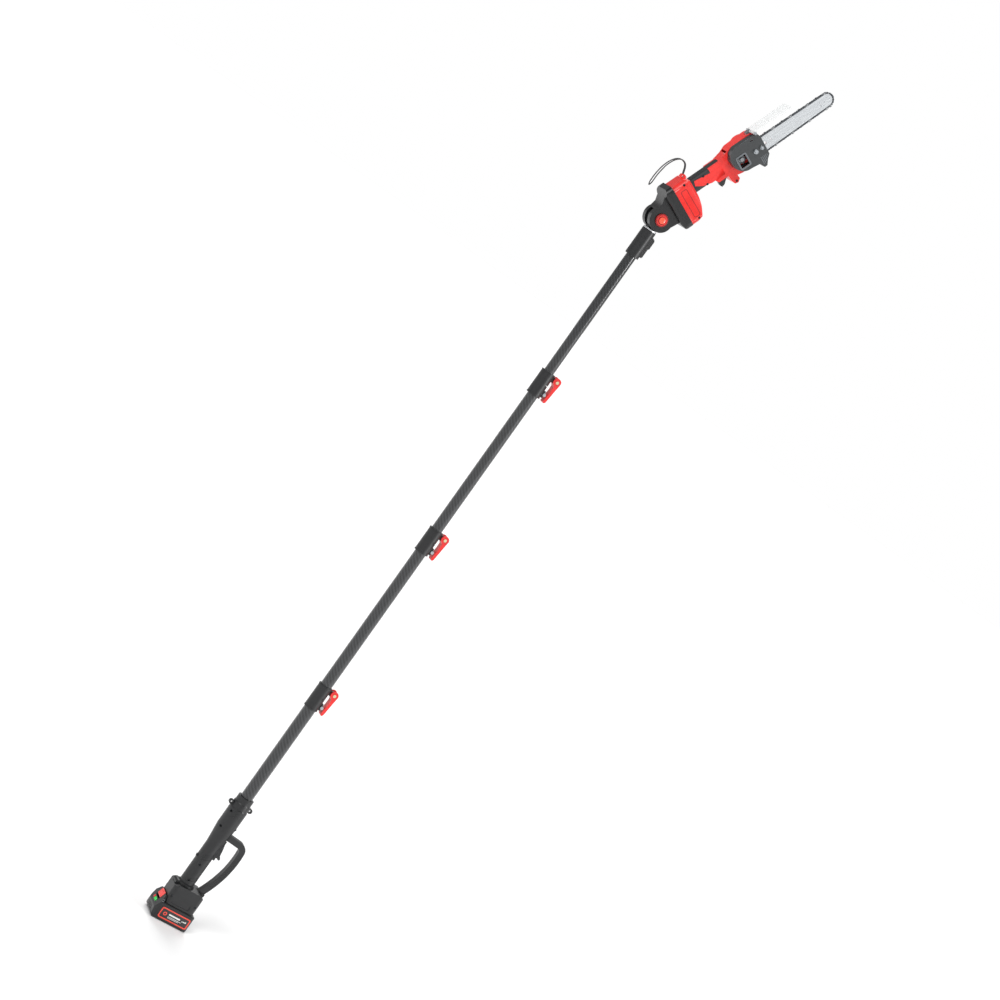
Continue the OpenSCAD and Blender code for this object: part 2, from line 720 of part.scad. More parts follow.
module saw_solid() {
  intersection() {
    slab(-60, 60) polygon(seat_side);
    translate([0, 0, 50]) linear_extrude(70) plan(-55, 59, 36, 16);
    bar_x(-70, 70, -36, 36, 30, 112, 12);
  }
  // core of the grip, with the inlay standing out of the rubber on both sides
  box([grip_x0 + 3, -grip_y + 3, 104], [grip_x1 - 3, grip_y - 3, 214]);
  slab(-grip_y - 0.4, grip_y + 0.4) polygon(inlay_side);
  slab(-17.5, 17.5) polygon(frame_side);
  slab(near_face, 20) polygon(body_side);
  // motor dome
  pin_y(motor, 18, 38, dome_r);
  translate([motor[0], 46, motor[1]]) rotate([90, 0, 0]) cylinder(r1 = dome_r - 5, r2 = dome_r, h = 8);
  // bumper teeth beside the bar
  for (i = [0:4]) translate([-3 + i * 5.6, 0, 316 - i * 3.2]) rotate([0, 30, 0])
    box([-2, near_face, -4], [2, 8, 4.5]);
  // strap lug
  slab(-6, 6) polygon([[-50, 96], [-60, 100], [-62, 108], [-57, 113], [-48, 113]]);
}

module saw_hollow() {
  // seat
  box([-48, -29, seat_z0 - 1], [48, 29, 88]);
  // grip and switch room
  box([grip_x0 + 6, -11, 80], [grip_x1 - 6, 11, 214]);
  box([grip_x0 + 6, -11, 176], [5, 11, 226]);
  // gear room and motor room
  slab(near_face + 4, 17) polygon([[-48, 226], [-50, 300], [-46, 312], [-8, 313], [18, 300],
    [18, 242], [8, 226]]);
  difference() {
    pin_y(motor, 10, 42, dome_r - 3);
    // seat round the motor's can
    difference() {
      pin_y(motor, 22, 28, dome_r);
      pin_y(motor, 20, 30, motor_r + fit);
    }
  }
  pin_y(drive, near_face - 10, 12, 5.5);
  // vents of the dome: three rows of slots
  for (x = [-12.5, 12.5]) for (z = [-12.5, 12.5])
    box([motor[0] + x - 2, 40, motor[1] + z - 9.5], [motor[0] + x + 2, 60, motor[1] + z + 9.5]);
  for (z = [-18, 18]) box([motor[0] - 2, 40, motor[1] + z - 6], [motor[0] + 2, 60,
    motor[1] + z + 6]);
  // side and top vents
  for (i = [0:2]) box([15, 0, 270 + i * 7], [30, 10, 273 + i * 7]);
  for (i = [0:6]) box([-42 + i * 5, 2, 306], [-40 + i * 5, 12, 330]);
  // openings for the trigger and the lock button, and the strap's hole
  box([0, -6 - gap, saw_trigger_z - gap], [40, 6 + gap, saw_trigger_z + saw_trigger_h + gap]);
  pin_y(lock_at, 8, 30, 5.5 + gap);
  pin_y([-55.5, 106], -20, 20, 3.4);
  for (p = saw_screw_at) screw_hole(p, saw_face(p));
  for (p = nut_at) pin_y(p, near_face - 1, near_face + 6, 2.9 + fit);
}
saw_screw_at = [[-46, 92], [48, 84], [-6, 148], [-30, 148], [31, 217], [-46, 246]];
function saw_face(p) = p[1] < 100 ? -36 : p[1] < 165 ? -17.9 : p[1] < 225 ? -17.5 : near_face;

module saw_near_shell() {
  color(red) head() near_half() difference() {
    saw_solid();
    saw_hollow();
  }
}

module saw_far_shell() {
  color(red) head() far_half() difference() {
    saw_solid();
    saw_hollow();
  }
}

module grip_overmould() {
  color("#1e1f21") head() difference() {
    intersection() {
      box([grip_x0, -grip_y, 112], [grip_x1, grip_y, 206]);
      translate([0, 0, 100]) linear_extrude(120) translate([(grip_x0 + grip_x1) / 2, 0])
        plan(grip_x0 / 2 - grip_x1 / 2, grip_x1 / 2 - grip_x0 / 2, grip_y, 9);
    }
    box([grip_x0 + 3, -grip_y + 3, 100], [grip_x1 - 3, grip_y - 3, 220]);
    slab(-30, 30) polygon(inlay_side);
    slab(-30, 30) polygon(frame_side);
    slab(-30, 30) polygon(body_side);
    for (p = saw_screw_at) pin_y(p, -60, 8, 3.3);
    pin_y(lock_at, 0, 30, 9);
  }
}

module saw_screws() {
  color(steel) head() for (p = saw_screw_at) screw_y(p, saw_face(p), 6);
}

module saw_switch() {
  color("#4a4c50") head() {
    box([-30, -7, 180], [-8, 7, 202]);
    box([-8, -3, 190], [-6.5, 3, 197]);
  }
}

module saw_trigger() {
  color(black) head() slab(-6, 6) polygon([[-1, saw_trigger_z], [21, saw_trigger_z],
    [28, saw_trigger_z + 3], [25, saw_trigger_z + 12], [17, saw_trigger_z + 20],
    [13, saw_trigger_z + saw_trigger_h], [-1, saw_trigger_z + saw_trigger_h]]);
}

module saw_lock_button() {
  color("#242528") head() {
    pin_y(lock_at, 9.2, 20.4, 5.5);
    pin_y(lock_at, 8.7, 10.2, 5.2);
  }
}

// ---------- saw head: drive ----------

module toothed(teeth, phase) {
  r = teeth * module_mm / 2;
  polygon([for (i = [0:teeth - 1]) let (a = phase + i * 360 / teeth, w = 90 / teeth)
    for (q = [[-0.95 * w, -0.95], [-0.72 * w, 0], [-0.34 * w, 0.6], [0.34 * w, 0.6],
      [0.72 * w, 0], [0.95 * w, -0.95]])
      (r + q[1]) * [cos(a + q[0]), sin(a + q[0])]]);
}

module motor_can() {
  color("#9a9da1") head() difference() {
    pin_y(motor, 12, 40, motor_r);
    pin_y(motor, 14, 38, motor_r - 2);
    pin_y(motor, 0, 60, 4);
  }
}

module motor_rotor() {
  color("#6d6f73") head() {
    pin_y(motor, 15, 37, motor_r - 3);
    pin_y(motor, 3, 41, 3.9);
    translate([motor[0], 9, motor[1]]) rotate([90, 0, 0]) linear_extrude(8)
      toothed(pinion_teeth, motor_angle + 180 + 180 / pinion_teeth);
  }
}

module drive_gear() {
  color("#c4c6c9") head() {
    translate([drive[0], 8, drive[1]]) rotate([90, 0, 0]) linear_extrude(6)
      toothed(gear_teeth, motor_angle);
    pin_y(drive, near_face - 12, 11, 5);
    // sprocket inside the chain
    slab(bar_y - 0.6, bar_y + 0.6) translate(drive) polygon([for (i = [0:27])
      let (a = i * 360 / 28, r = [drive_r - 1, drive_r - 1, drive_r - 3.4, drive_r - 3.4][i % 4])
      [r * cos(a), r * sin(a)]]);
    pin_y(drive, bar_y - 3, bar_y + 3, 9);
  }
}

// outline of bar and chain, moved out by d, round the sprocket and the nose
function loop_path(d, n) = concat(
  arc(nose, nose_r + d, 0, 180, n),
  [[drive[0] - bar_half - d, drive[1] + 60], [drive[0] - bar_half - d, drive[1] + 36]],
  arc(drive, drive_r + d, 180, 360, n),
  [[drive[0] + bar_half + d, drive[1] + 36], [drive[0] + bar_half + d, drive[1] + 60]]);

module guide_bar() {
  tail = drive[1] + 20;
  color("#d4d6d8") head() difference() {
    slab(bar_y - bar_t / 2, bar_y + bar_t / 2) difference() {
      intersection() {
        polygon(loop_path(0, 14));
        translate([drive[0] - 40, tail]) square([80, 400]);
      }
      // slot of the tail, for the bar's studs
      translate([drive[0] - 4, tail + 8]) square([8, 44]);
      translate([drive[0], tail + 52]) circle(4);
      for (z = [bar_tip - 34, tail + 70]) translate([drive[0], z]) circle(1.8);
    }
    // nose slot that holds the nose sprocket
    pin_y(nose, bar_y - 0.9, bar_y + 0.9, 12.2);
    slab(bar_y - 0.9, bar_y + 0.9) difference() {
      polygon(loop_path(3, 14));
      polygon(loop_path(-4, 14));
      translate([drive[0] - 40, tail - 60]) square([80, 61]);
    }
  }
}

// the chain as one band with its cutters, standing clear of bar and sprocket
chain_gap = 0.4;
link_pitch = 13;
cutter_h = 2.6;
function along(p, s, i = 0) = let (j = (i + 1) % len(p), l = norm(p[j] - p[i]))
  s <= l || i == len(p) - 1 ? let (d = (p[j] - p[i]) / l) [p[i] + d * min(s, l), d]
  : along(p, s - l, i + 1);
function path_len(p, i = 0) = i == len(p) ? 0 : norm(p[(i + 1) % len(p)] - p[i])
  + path_len(p, i + 1);
module saw_chain() {
  inner = loop_path(chain_gap, 14);
  mid = loop_path(chain_gap + 3, 14);
  total = path_len(mid);
  count = round(total / link_pitch);
  color("#8f9296") head() difference() {
    slab(bar_y - chain_t / 2, bar_y + chain_t / 2) polygon([for (i = [0:count - 1])
      for (q = [[0, 0.2], [0.18, cutter_h], [0.5, cutter_h - 0.5], [0.62, 0.2], [0.7, -0.8],
        [0.94, -0.8]])
        let (a = along(mid, (i + q[0]) * total / count)) a[0] + q[1] * [a[1][1], -a[1][0]]]);
    slab(bar_y - 20, bar_y + 20) polygon(inner);
  }
}

module nose_sprocket() {
  color(steel) head() difference() {
    slab(bar_y - 0.6, bar_y + 0.6) translate(nose) polygon([for (i = [0:35])
      let (a = i * 10, r = i % 4 < 2 ? 11.6 : 9.6) [r * cos(a), r * sin(a)]]);
    pin_y(nose, bar_y - 5, bar_y + 5, 3);
  }
}

// ---------- saw head: cover, fasteners, baffle ----------

cover_side = concat([[-52, 300], [-47, 316], [-38, 319], [12, 318], [22, 308], [35, 299],
  [35, 291], [21, 284], [18, 262]], arc([-17, 258], 35, 0, -90, 8), [[-30, 222], [-45, 231],
  [-53, 246]]);
cover_y = near_face - 21;
nut_at = [[drive[0], drive[1] + 38], [drive[0], drive[1] + 56]];

module sprocket_cover() {
  color("#3c3f42") head() difference() {
    slab(cover_y, near_face) polygon(cover_side);
    // room for sprocket, bar and chain, open towards the bar
    slab(cover_y + 3, near_face + 1) polygon(concat([[-47, 298], [-42, 330], [24, 330],
      [24, 306], [13, 286], [13, 262]], arc([-17, 258], 30, 0, -90, 8), [[-28, 228], [-42, 235],
      [-48, 248]]));
    // window, slit and nut holes
    box([-24, -60, 239], [4, near_face - 8, 262]);
    box([-44, -60, 288], [-42, near_face - 8, 298]);
    for (p = nut_at) pin_y(p, -60, 0, 3);
  }
}

// studs set in the housing, each with its nut on the cover
module cover_nuts() {
  color(steel) head() for (p = nut_at) {
    pin_y(p, cover_y - 6, near_face + 3.6, 2.9);
    translate([p[0], cover_y, p[1]]) rotate([90, 0, 0]) cylinder(r = 6.2, h = 5, $fn = 6);
  }
}

module chip_baffle() {
  color("#eef0f0") head() difference() {
    union() {
      pin_y([baffle_x, baffle_z], baffle_y0, baffle_y1, 4);
      box([baffle_x - 4, baffle_y0, baffle_z], [baffle_x - 1, baffle_y1, baffle_z + baffle_len]);
      box([baffle_x - 4, baffle_y0, baffle_z + 6], [baffle_x + 1, baffle_y0 + 2,
        baffle_z + baffle_len]);
    }
    pin_y([baffle_x, baffle_z], -80, 80, 2 + fit);
    // gap for the hinge lug of the housing
    pin_y([baffle_x, baffle_z], -16, 0.4, 4.6);
  }
}

// hinge lug bolted to the housing, with the baffle's pin and its screws
module baffle_screws() {
  color(steel) head() {
    pin_y([baffle_x, baffle_z], baffle_y0 - 1.4, baffle_y1 + 1.4, 2);
    pin_y([baffle_x, baffle_z], baffle_y0 - 3, baffle_y0 - 0.4, 3.6);
    pin_y([baffle_x, baffle_z], baffle_y1 + 0.4, baffle_y1 + 3, 3.6);
    difference() {
      slab(-15.6, 0) polygon([[baffle_x - 2.2, baffle_z - 2], [baffle_x - 2.2, baffle_z + 2.5],
        [baffle_x + 2, baffle_z + 2.5], [-50, baffle_z - 4], [-50, 296], [baffle_x - 1.5, 296]]);
      slab(-20, 5) polygon(body_side);
    }
  }
}

module wrist_strap() {
  color("#1b1b1c") sweep(strap, strap_r, 8);
}

handle_near_shell();
handle_far_shell();
hand_guard();
handle_screws();
control_board();
terminal_block();
main_switch();
main_trigger();
trigger_spring();
lock_off_button();
tube(1);  // tube_1
tube(2);  // tube_2
tube(3);  // tube_3
tube(4);  // tube_4
clamp_collar(1);  // clamp_collar_1
clamp_collar(2);  // clamp_collar_2
clamp_collar(3);  // clamp_collar_3
clamp_lever(1);  // clamp_lever_1
clamp_lever(2);  // clamp_lever_2
clamp_lever(3);  // clamp_lever_3
clamp_pins(1);  // clamp_pins_1
clamp_pins(2);  // clamp_pins_2
clamp_pins(3);  // clamp_pins_3
coiled_lead(1);  // coiled_lead_1
coiled_lead(2);  // coiled_lead_2
coiled_lead(3);  // coiled_lead_3
coiled_lead(4);  // coiled_lead_4
battery_lower_case();
battery_upper_case();
battery_cells();
battery_labels();
battery_gauge_lens();
battery_latch();
gauge_button();
top_socket();
socket_ring();
socket_latch();
knuckle_tongue();
adapter_near_shell();
adapter_far_shell();
pivot_bolt();
tilt_button();
saw_near_shell();
saw_far_shell();
grip_overmould();
motor_can();
motor_rotor();
drive_gear();
sprocket_cover();
cover_nuts();
guide_bar();
saw_chain();
nose_sprocket();
saw_screws();
saw_switch();
saw_trigger();
saw_lock_button();
chip_baffle();
baffle_screws();
wrist_strap();
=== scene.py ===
from math import cos, pi, radians, sin

import bmesh
import bpy
from mathutils import Matrix, Vector


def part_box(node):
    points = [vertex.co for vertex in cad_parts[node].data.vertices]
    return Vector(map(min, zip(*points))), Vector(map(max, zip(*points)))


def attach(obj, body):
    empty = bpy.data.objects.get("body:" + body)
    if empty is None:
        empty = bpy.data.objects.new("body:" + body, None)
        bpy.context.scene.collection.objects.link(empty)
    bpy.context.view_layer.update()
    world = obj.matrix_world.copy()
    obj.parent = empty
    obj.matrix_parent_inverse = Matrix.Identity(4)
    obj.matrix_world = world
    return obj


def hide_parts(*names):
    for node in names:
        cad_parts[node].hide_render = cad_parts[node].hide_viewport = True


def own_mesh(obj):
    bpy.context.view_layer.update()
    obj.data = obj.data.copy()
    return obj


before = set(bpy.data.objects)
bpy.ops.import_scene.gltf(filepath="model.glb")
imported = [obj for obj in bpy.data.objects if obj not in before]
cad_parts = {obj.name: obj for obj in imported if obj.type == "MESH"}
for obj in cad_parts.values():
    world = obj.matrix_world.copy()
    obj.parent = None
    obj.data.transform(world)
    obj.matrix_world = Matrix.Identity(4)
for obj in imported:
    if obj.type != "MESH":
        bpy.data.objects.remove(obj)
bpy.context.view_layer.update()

# Camera: a long lens 6.5 m away, level with the upper half of the pole and turned 24 degrees
# to the battery's latch side, rolled so that the pole leans up to the right.
camera_turn = radians(-24)
camera_distance = 6.5
camera_height = 2.0
camera_roll = radians(35.447)
camera_lens_mm = 93.1
aim = Vector((0.0957, 0, 1.3811))
camera = bpy.data.objects.new("camera", bpy.data.cameras.new("camera"))
bpy.context.scene.collection.objects.link(camera)
camera.location = (sin(camera_turn) * camera_distance, -cos(camera_turn) * camera_distance,
                   camera_height)
to_aim = (aim - camera.location).to_track_quat("-Z", "Y").to_matrix().to_4x4()
camera.rotation_euler = (to_aim @ Matrix.Rotation(camera_roll, 4, "Z")).to_euler()
camera.data.lens = camera_lens_mm
bpy.context.scene.camera = camera


def paint(hex_colour):
    """An sRGB colour such as "#E8322E" as the linear RGBA that a shader takes."""
    parts = [int(hex_colour[i:i + 2], 16) / 255 for i in (1, 3, 5)]
    return (*[p / 12.92 if p <= 0.04045 else ((p + 0.055) / 1.055) ** 2.4 for p in parts], 1)


def put(material, kind, sockets=None, **settings):
    """Adds a node to a material with its settings. A socket takes a plain value or another node's output."""
    node = material.node_tree.nodes.new("ShaderNode" + kind)
    for name, value in settings.items():
        setattr(node, name, value)
    for socket, value in (sockets or {}).items():
        if isinstance(value, bpy.types.NodeSocket):
            material.node_tree.links.new(value, node.inputs[socket])
        else:
            node.inputs[socket].default_value = value
    return node


def new_material(name):
    """An empty node material."""
    material = bpy.data.materials.new(name)
    material.use_nodes = True
    material.node_tree.nodes.clear()
    return material


def surface(material, shader):
    """Joins a shader to the material's output and returns the material."""
    put(material, "OutputMaterial", {"Surface": shader.outputs[0]})
    return material


def plain(material, sockets):
    """Gives a material one all-round shader with these sockets, and returns the material."""
    return surface(material, put(material, "BsdfPrincipled", sockets))


def cloudy(material, scale, **settings):
    """A cloudy pattern over the piece, with so many clouds to the metre."""
    at = put(material, "TexCoord")
    clouds = put(material, "TexNoise", {"Vector": at.outputs["Object"], "Scale": scale, **settings})
    return clouds.outputs["Fac"]


def two_tone(material, pattern, dark, light, start=0.0, end=1.0):
    """A colour that runs from dark to light while a pattern rises from start to end."""
    tone = put(material, "ValToRGB", {"Fac": pattern})
    for stop, place, colour in zip(tone.color_ramp.elements, (start, end), (dark, light)):
        stop.position, stop.color = place, paint(colour)
    return tone.outputs[0]


def ranged(material, pattern, low, high, start=0.0, end=1.0):
    """A number that runs from low to high while a pattern rises from start to end."""
    return put(material, "MapRange", {"Value": pattern, "From Min": start, "From Max": end,
                                      "To Min": low, "To Max": high}).outputs[0]


def relief(material, pattern, strength, depth):
    """The small bumps of a pattern, for a shader's normal."""
    return put(material, "Bump", {"Height": pattern, "Strength": strength,
                                  "Distance": depth}).outputs[0]


# Floor and light: a seamless matt white studio floor under three broad, soft lamps and a narrow
# one, in a room that looks white to the camera and throws back a third of that on the object.
room_white = 1.0
room_glow = 0.34


def studio_white():
    """Matt paper with the faintest cloudiness."""
    paper = new_material("matt_white_studio_paper")
    shade = ranged(paper, cloudy(paper, 3, Detail=4), 0.90, 0.92)
    tone = put(paper, "CombineColor", {n: shade for n in ("Red", "Green", "Blue")})
    return surface(paper, put(paper, "BsdfDiffuse", {"Color": tone.outputs[0]}))


def soft_lamp(name, place, strength, spread):
    """A far lamp as broad as its spread, which lights the whole floor evenly."""
    lamp = bpy.data.lights.new(name, "SUN")
    lamp.energy, lamp.angle = strength, radians(spread)
    holder = bpy.data.objects.new(name, lamp)
    holder.location = place
    holder.rotation_euler = (-Vector(place)).to_track_quat("-Z", "Y").to_euler()
    bpy.context.scene.collection.objects.link(holder)
    return holder


def in_scene(name, mesh):
    """A new object that shows a mesh."""
    piece = bpy.data.objects.new(name, mesh)
    bpy.context.scene.collection.objects.link(piece)
    return piece


floor_radius = 80
disc = bmesh.new()
bmesh.ops.create_circle(disc, cap_ends=True, segments=96, radius=floor_radius)
floor_mesh = bpy.data.meshes.new("studio_floor")
disc.to_mesh(floor_mesh)
floor = in_scene("studio_floor", floor_mesh)
floor.location.z = -0.0005
floor_mesh.materials.append(studio_white())
soft_lamp("key_lamp", (-4.5, -4.0, 5.5), 1.9, 26)
soft_lamp("side_lamp", (6.0, -4.0, 3.0), 1.1, 24)
soft_lamp("back_lamp", (1.5, 6.0, 7.0), 1.6, 30)
# a narrow upright strip that only shows as the long highlight on round and glossy pieces
strip_lamp = soft_lamp("strip_lamp", (4.6, -4.0, 0.5), 0.9, 8)
strip_lamp.visible_diffuse = False
room = bpy.data.worlds.new("white_room")
room.use_nodes = True
walls = room.node_tree.nodes["Background"]
walls.inputs["Color"].default_value = paint("#FFFFFF")
seen_or_lit = room.node_tree.nodes.new("ShaderNodeMapRange")
seen_or_lit.inputs["To Min"].default_value = room_glow
seen_or_lit.inputs["To Max"].default_value = room_white
sight = room.node_tree.nodes.new("ShaderNodeLightPath")
room.node_tree.links.new(sight.outputs["Is Camera Ray"], seen_or_lit.inputs["Value"])
room.node_tree.links.new(seen_or_lit.outputs[0], walls.inputs["Strength"])
bpy.context.scene.world = room
bpy.context.scene.view_settings.view_transform = "Standard"

# Wrist strap: a 3 mm braided black polyester cord, looped through the lug on the saw's seat.
# Both strands run out of the lug together, arch over the seat and hang beside the knuckle.
MM = 0.001
strap_d = 3 * MM
strap_mm = [
    (-14, -3, 2314), (-16, -3, 2319), (-18, -3, 2325), (-21, -3, 2332), (-26, -3, 2338),
    (-33, -4, 2341), (-41, -4, 2341), (-49, -5, 2337), (-56, -5, 2330), (-62, -6, 2320),
    (-67, -6, 2308), (-70, -7, 2295), (-72, -7, 2282), (-73, -7, 2269), (-73, -7, 2258),
    (-73, -6, 2251), (-73, -3, 2246)]
strap_route = [Vector(p) * MM for p in
               strap_mm + [(-73, 0, 2244)] + [(x, -y, z) for x, y, z in reversed(strap_mm)]]


def braided_polyester():
    """Dull black filament with the slant of its braid, which breaks the highlight into short dashes.
    The real braid's 0.8 mm strands are drawn 1.6 mm wide, so that they show."""
    cord = new_material("braided_black_polyester")
    strand = 1.6 * MM
    at = put(cord, "TexCoord")
    braid = put(cord, "TexWave", {"Vector": at.outputs["Object"], "Scale": 0.3 / strand,
                                  "Distortion": 1.5}, bands_direction="DIAGONAL")
    return plain(cord, {
        "Base Color": two_tone(cord, braid.outputs["Fac"], "#0B0B0C", "#2B2C2F"),
        "Roughness": 0.62, "IOR": 1.54, "Sheen Weight": 0.25,
        "Normal": relief(cord, braid.outputs["Fac"], 0.6, 0.3 * MM)})


strap_line = bpy.data.curves.new("wrist_strap_cord", "CURVE")
strap_line.dimensions = "3D"
strap_line.bevel_depth = strap_d / 2
strap_line.bevel_resolution = 3
strap_line.resolution_u = 6
strap_line.use_fill_caps = True
run = strap_line.splines.new("BEZIER")
run.bezier_points.add(len(strap_route) - 1)
for knot, point in zip(run.bezier_points, strap_route):
    knot.co = point
    knot.handle_left_type = knot.handle_right_type = "AUTO"
strap = in_scene("wrist_strap_cord", strap_line)
strap_line.materials.append(braided_polyester())
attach(strap, "head")
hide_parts("wrist_strap")

# Handle shells: a near and a far half moulded in black glass-filled nylon with a fine spark
# texture, screwed together round the lower tube, the electronics and the battery's rails.
handle_edge = 1.2 * MM


def moulding(name, colour, edge_highlight_colour, roughness, ior, grain):
    """Two materials of one moulded plastic: its textured faces, with the slow change of tone that the
    mould's flow leaves, and its rounded edges, smoother and painted lighter as a painted highlight where
    they catch the light."""
    made = []
    for part, tone, gloss, depth in ((name, colour, roughness, 0.16),
                                     (name + "_painted_edge_highlight", edge_highlight_colour, roughness * 0.72, 0.06)):
        plastic = new_material(part)
        flow = cloudy(plastic, 0.25 / (10 * MM), Detail=3, Roughness=0.6)
        spark = cloudy(plastic, 1 / grain, Detail=2)
        shade = put(plastic, "HueSaturation", {
            "Color": paint(tone), "Value": ranged(plastic, flow, 0.88, 1.12, 0.3, 0.7)})
        made.append(plain(plastic, {
            "Base Color": shade.outputs[0], "IOR": ior,
            "Roughness": ranged(plastic, spark, gloss - 0.06, gloss + 0.08, 0.3, 0.7),
            "Normal": relief(plastic, spark, depth, grain / 4)}))
    return made


# nylon with glass fibre: near black, satin, its grain of 0.4 mm drawn at 1.2 mm so that it shows
# each moulding's second, lighter colour is a painted highlight on its rounded edges
black_nylon = moulding("glass_filled_black_nylon", "#141517", "#313336", 0.40, 1.53, 1.2 * MM)


def finished(piece, body, materials):
    """Gives a piece its materials, and the body that carries it."""
    for material in materials:
        piece.data.materials.append(material)
    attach(piece, body)
    return piece


def settled(piece):
    """Applies a piece's modifiers to its mesh."""
    seen = piece.evaluated_get(bpy.context.evaluated_depsgraph_get())
    done = bpy.data.meshes.new_from_object(seen)
    piece.modifiers.clear()
    piece.data = done
    return piece


def soften(piece, edge, steps=2, sharp_from=32):
    """Rounds a piece's sharp edges, with its second material on the rounding, and shades it smooth."""
    rounding = piece.modifiers.new("rounding", "BEVEL")
    rounding.width = edge
    rounding.segments = steps
    rounding.limit_method = "ANGLE"
    rounding.angle_limit = radians(sharp_from)
    rounding.material = 1
    piece.data.shade_smooth()
    even = piece.modifiers.new("even_shading", "WEIGHTED_NORMAL")
    even.weight = 60
    return settled(piece)


def moulded(node, body, materials, edge, name=None, sharp_from=32):
    """A piece in its CAD node's shape, with its flat faces joined and its edges rounded."""
    shape = bmesh.new()
    shape.from_mesh(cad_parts[node].data)
    bmesh.ops.remove_doubles(shape, verts=shape.verts, dist=0.01 * MM)
    bmesh.ops.dissolve_limit(shape, angle_limit=radians(0.8), verts=shape.verts,
                             edges=shape.edges)
    mesh = bpy.data.meshes.new(name or node + "_moulded")
    shape.to_mesh(mesh)
    mesh.materials.clear()
    piece = in_scene(name or node + "_moulded", mesh)
    for material in materials:
        mesh.materials.append(material)
    soften(piece, edge, sharp_from=sharp_from)
    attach(piece, body)
    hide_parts(node)
    return piece


for side in ("near", "far"):
    moulded(f"handle_{side}_shell", "handle", black_nylon, handle_edge)

# Grip ribs: chevrons under the strap eyes and slanted ribs above and below the grip, raised in
# the handle mould on both sides so that a gloved hand doesn't slip.
rib_w = 2.6 * MM
rib_proud = 0.9 * MM
grip_r = 20.5 * MM
handle_r = 26 * MM
chevrons_z = [322 * MM + i * 8 * MM for i in range(3)]
slants_z = [186 * MM + i * 7 * MM for i in range(3)]
low_slants_z = [119 * MM + i * 7 * MM for i in range(2)]


def swept_bar(shape, path, outward, width, height):
    """Adds to a bmesh a bar with sloping sides that follows a path, standing on the side it faces."""
    rows = []
    for i, point in enumerate(path):
        ahead = (path[min(i + 1, len(path) - 1)] - path[max(i - 1, 0)]).normalized()
        up = outward[i].normalized()
        across = ahead.cross(up).normalized()
        rows.append([shape.verts.new(point + across * (a * width) + up * (h * height))
                     for a, h in ((-0.5, -0.5), (-0.32, 1), (0.32, 1), (0.5, -0.5))])
    for near_row, far_row in zip(rows, rows[1:]):
        for k in range(4):
            shape.faces.new([near_row[k], near_row[(k + 1) % 4], far_row[(k + 1) % 4], far_row[k]])
    shape.faces.new(rows[0])
    shape.faces.new(rows[-1][::-1])


def built(name, shape):
    """A new object from a bmesh, with its faces turned outward."""
    bmesh.ops.recalc_face_normals(shape, faces=shape.faces)
    mesh = bpy.data.meshes.new(name)
    shape.to_mesh(mesh)
    shape.free()
    return in_scene(name, mesh)


def wrap_rib(shape, radius, z, angles, rise):
    """Adds a rib that climbs round a round grip while it turns through the angles."""
    steps = 8
    turns = [radians(angles[0] + (angles[1] - angles[0]) * i / steps) for i in range(steps + 1)]
    outward = [Vector((cos(a), sin(a), 0)) for a in turns]
    path = [out * radius + Vector((0, 0, z + rise * i / steps)) for i, out in enumerate(outward)]
    swept_bar(shape, path, outward, rib_w, rib_proud)


for side, middle in (("near", -90), ("far", 90)):
    ribs = bmesh.new()
    for z in chevrons_z:
        for way in (-1, 1):
            wrap_rib(ribs, handle_r - 0.3 * MM, z, (middle + 38 * way, middle + 3 * way), 12 * MM)
    for z in slants_z + low_slants_z:
        wrap_rib(ribs, grip_r, z, (middle - 38, middle + 38), 12 * MM)
    rib_piece = built(f"grip_ribs_{side}", ribs)
    finished(rib_piece, "handle", black_nylon[:1])

# Hand guard: a flat moulded nylon bow that keeps branches off the trigger hand, keyed into the
# handle at its upper end and into the receiver at its foot, with fine ribs across its outer face.
guard_reach = 85 * MM
guard_w = 17 * MM
guard_bend = 18 * MM
guard_mid = Vector((guard_reach - guard_w / 2 - guard_bend, 0, 247 * MM))
guard_low = Vector((46 * MM, 0, 103 * MM))
guard_knee = guard_mid + Vector((guard_bend + 6 * MM, 0, -72 * MM))
moulded("hand_guard", "handle", black_nylon, 2.2 * MM)


def guard_line(t):
    """A point on the guard's middle line below its bend, from 0 at the bend to 1 at its foot."""
    top = guard_mid + Vector((guard_bend, 0, 0))
    return (1 - t) ** 2 * top + 2 * t * (1 - t) * guard_knee + t * t * guard_low


ribs = bmesh.new()
rib_count = 26
for i in range(rib_count):
    t = 0.06 + 0.78 * i / rib_count
    ahead = (guard_line(t + 0.01) - guard_line(t)).normalized()
    out = Vector((-ahead.z, 0, ahead.x))
    foot = guard_line(t) + out * (guard_w / 2 - 0.2 * MM)
    swept_bar(ribs, [foot + Vector((0, y * MM, 0)) for y in (-6.4, 0, 6.4)], [out] * 3,
              1.8 * MM, 0.6 * MM)
    for way in (-1, 1):
        swept_bar(ribs, [guard_line(t) + out * (w * guard_w / 2) + Vector((0, way * 9 * MM, 0))
                         for w in (-0.72, 0, 0.72)], [Vector((0, way, 0))] * 3, 1.8 * MM, 0.5 * MM)
finished(built("hand_guard_ribs", ribs), "handle", black_nylon[:1])
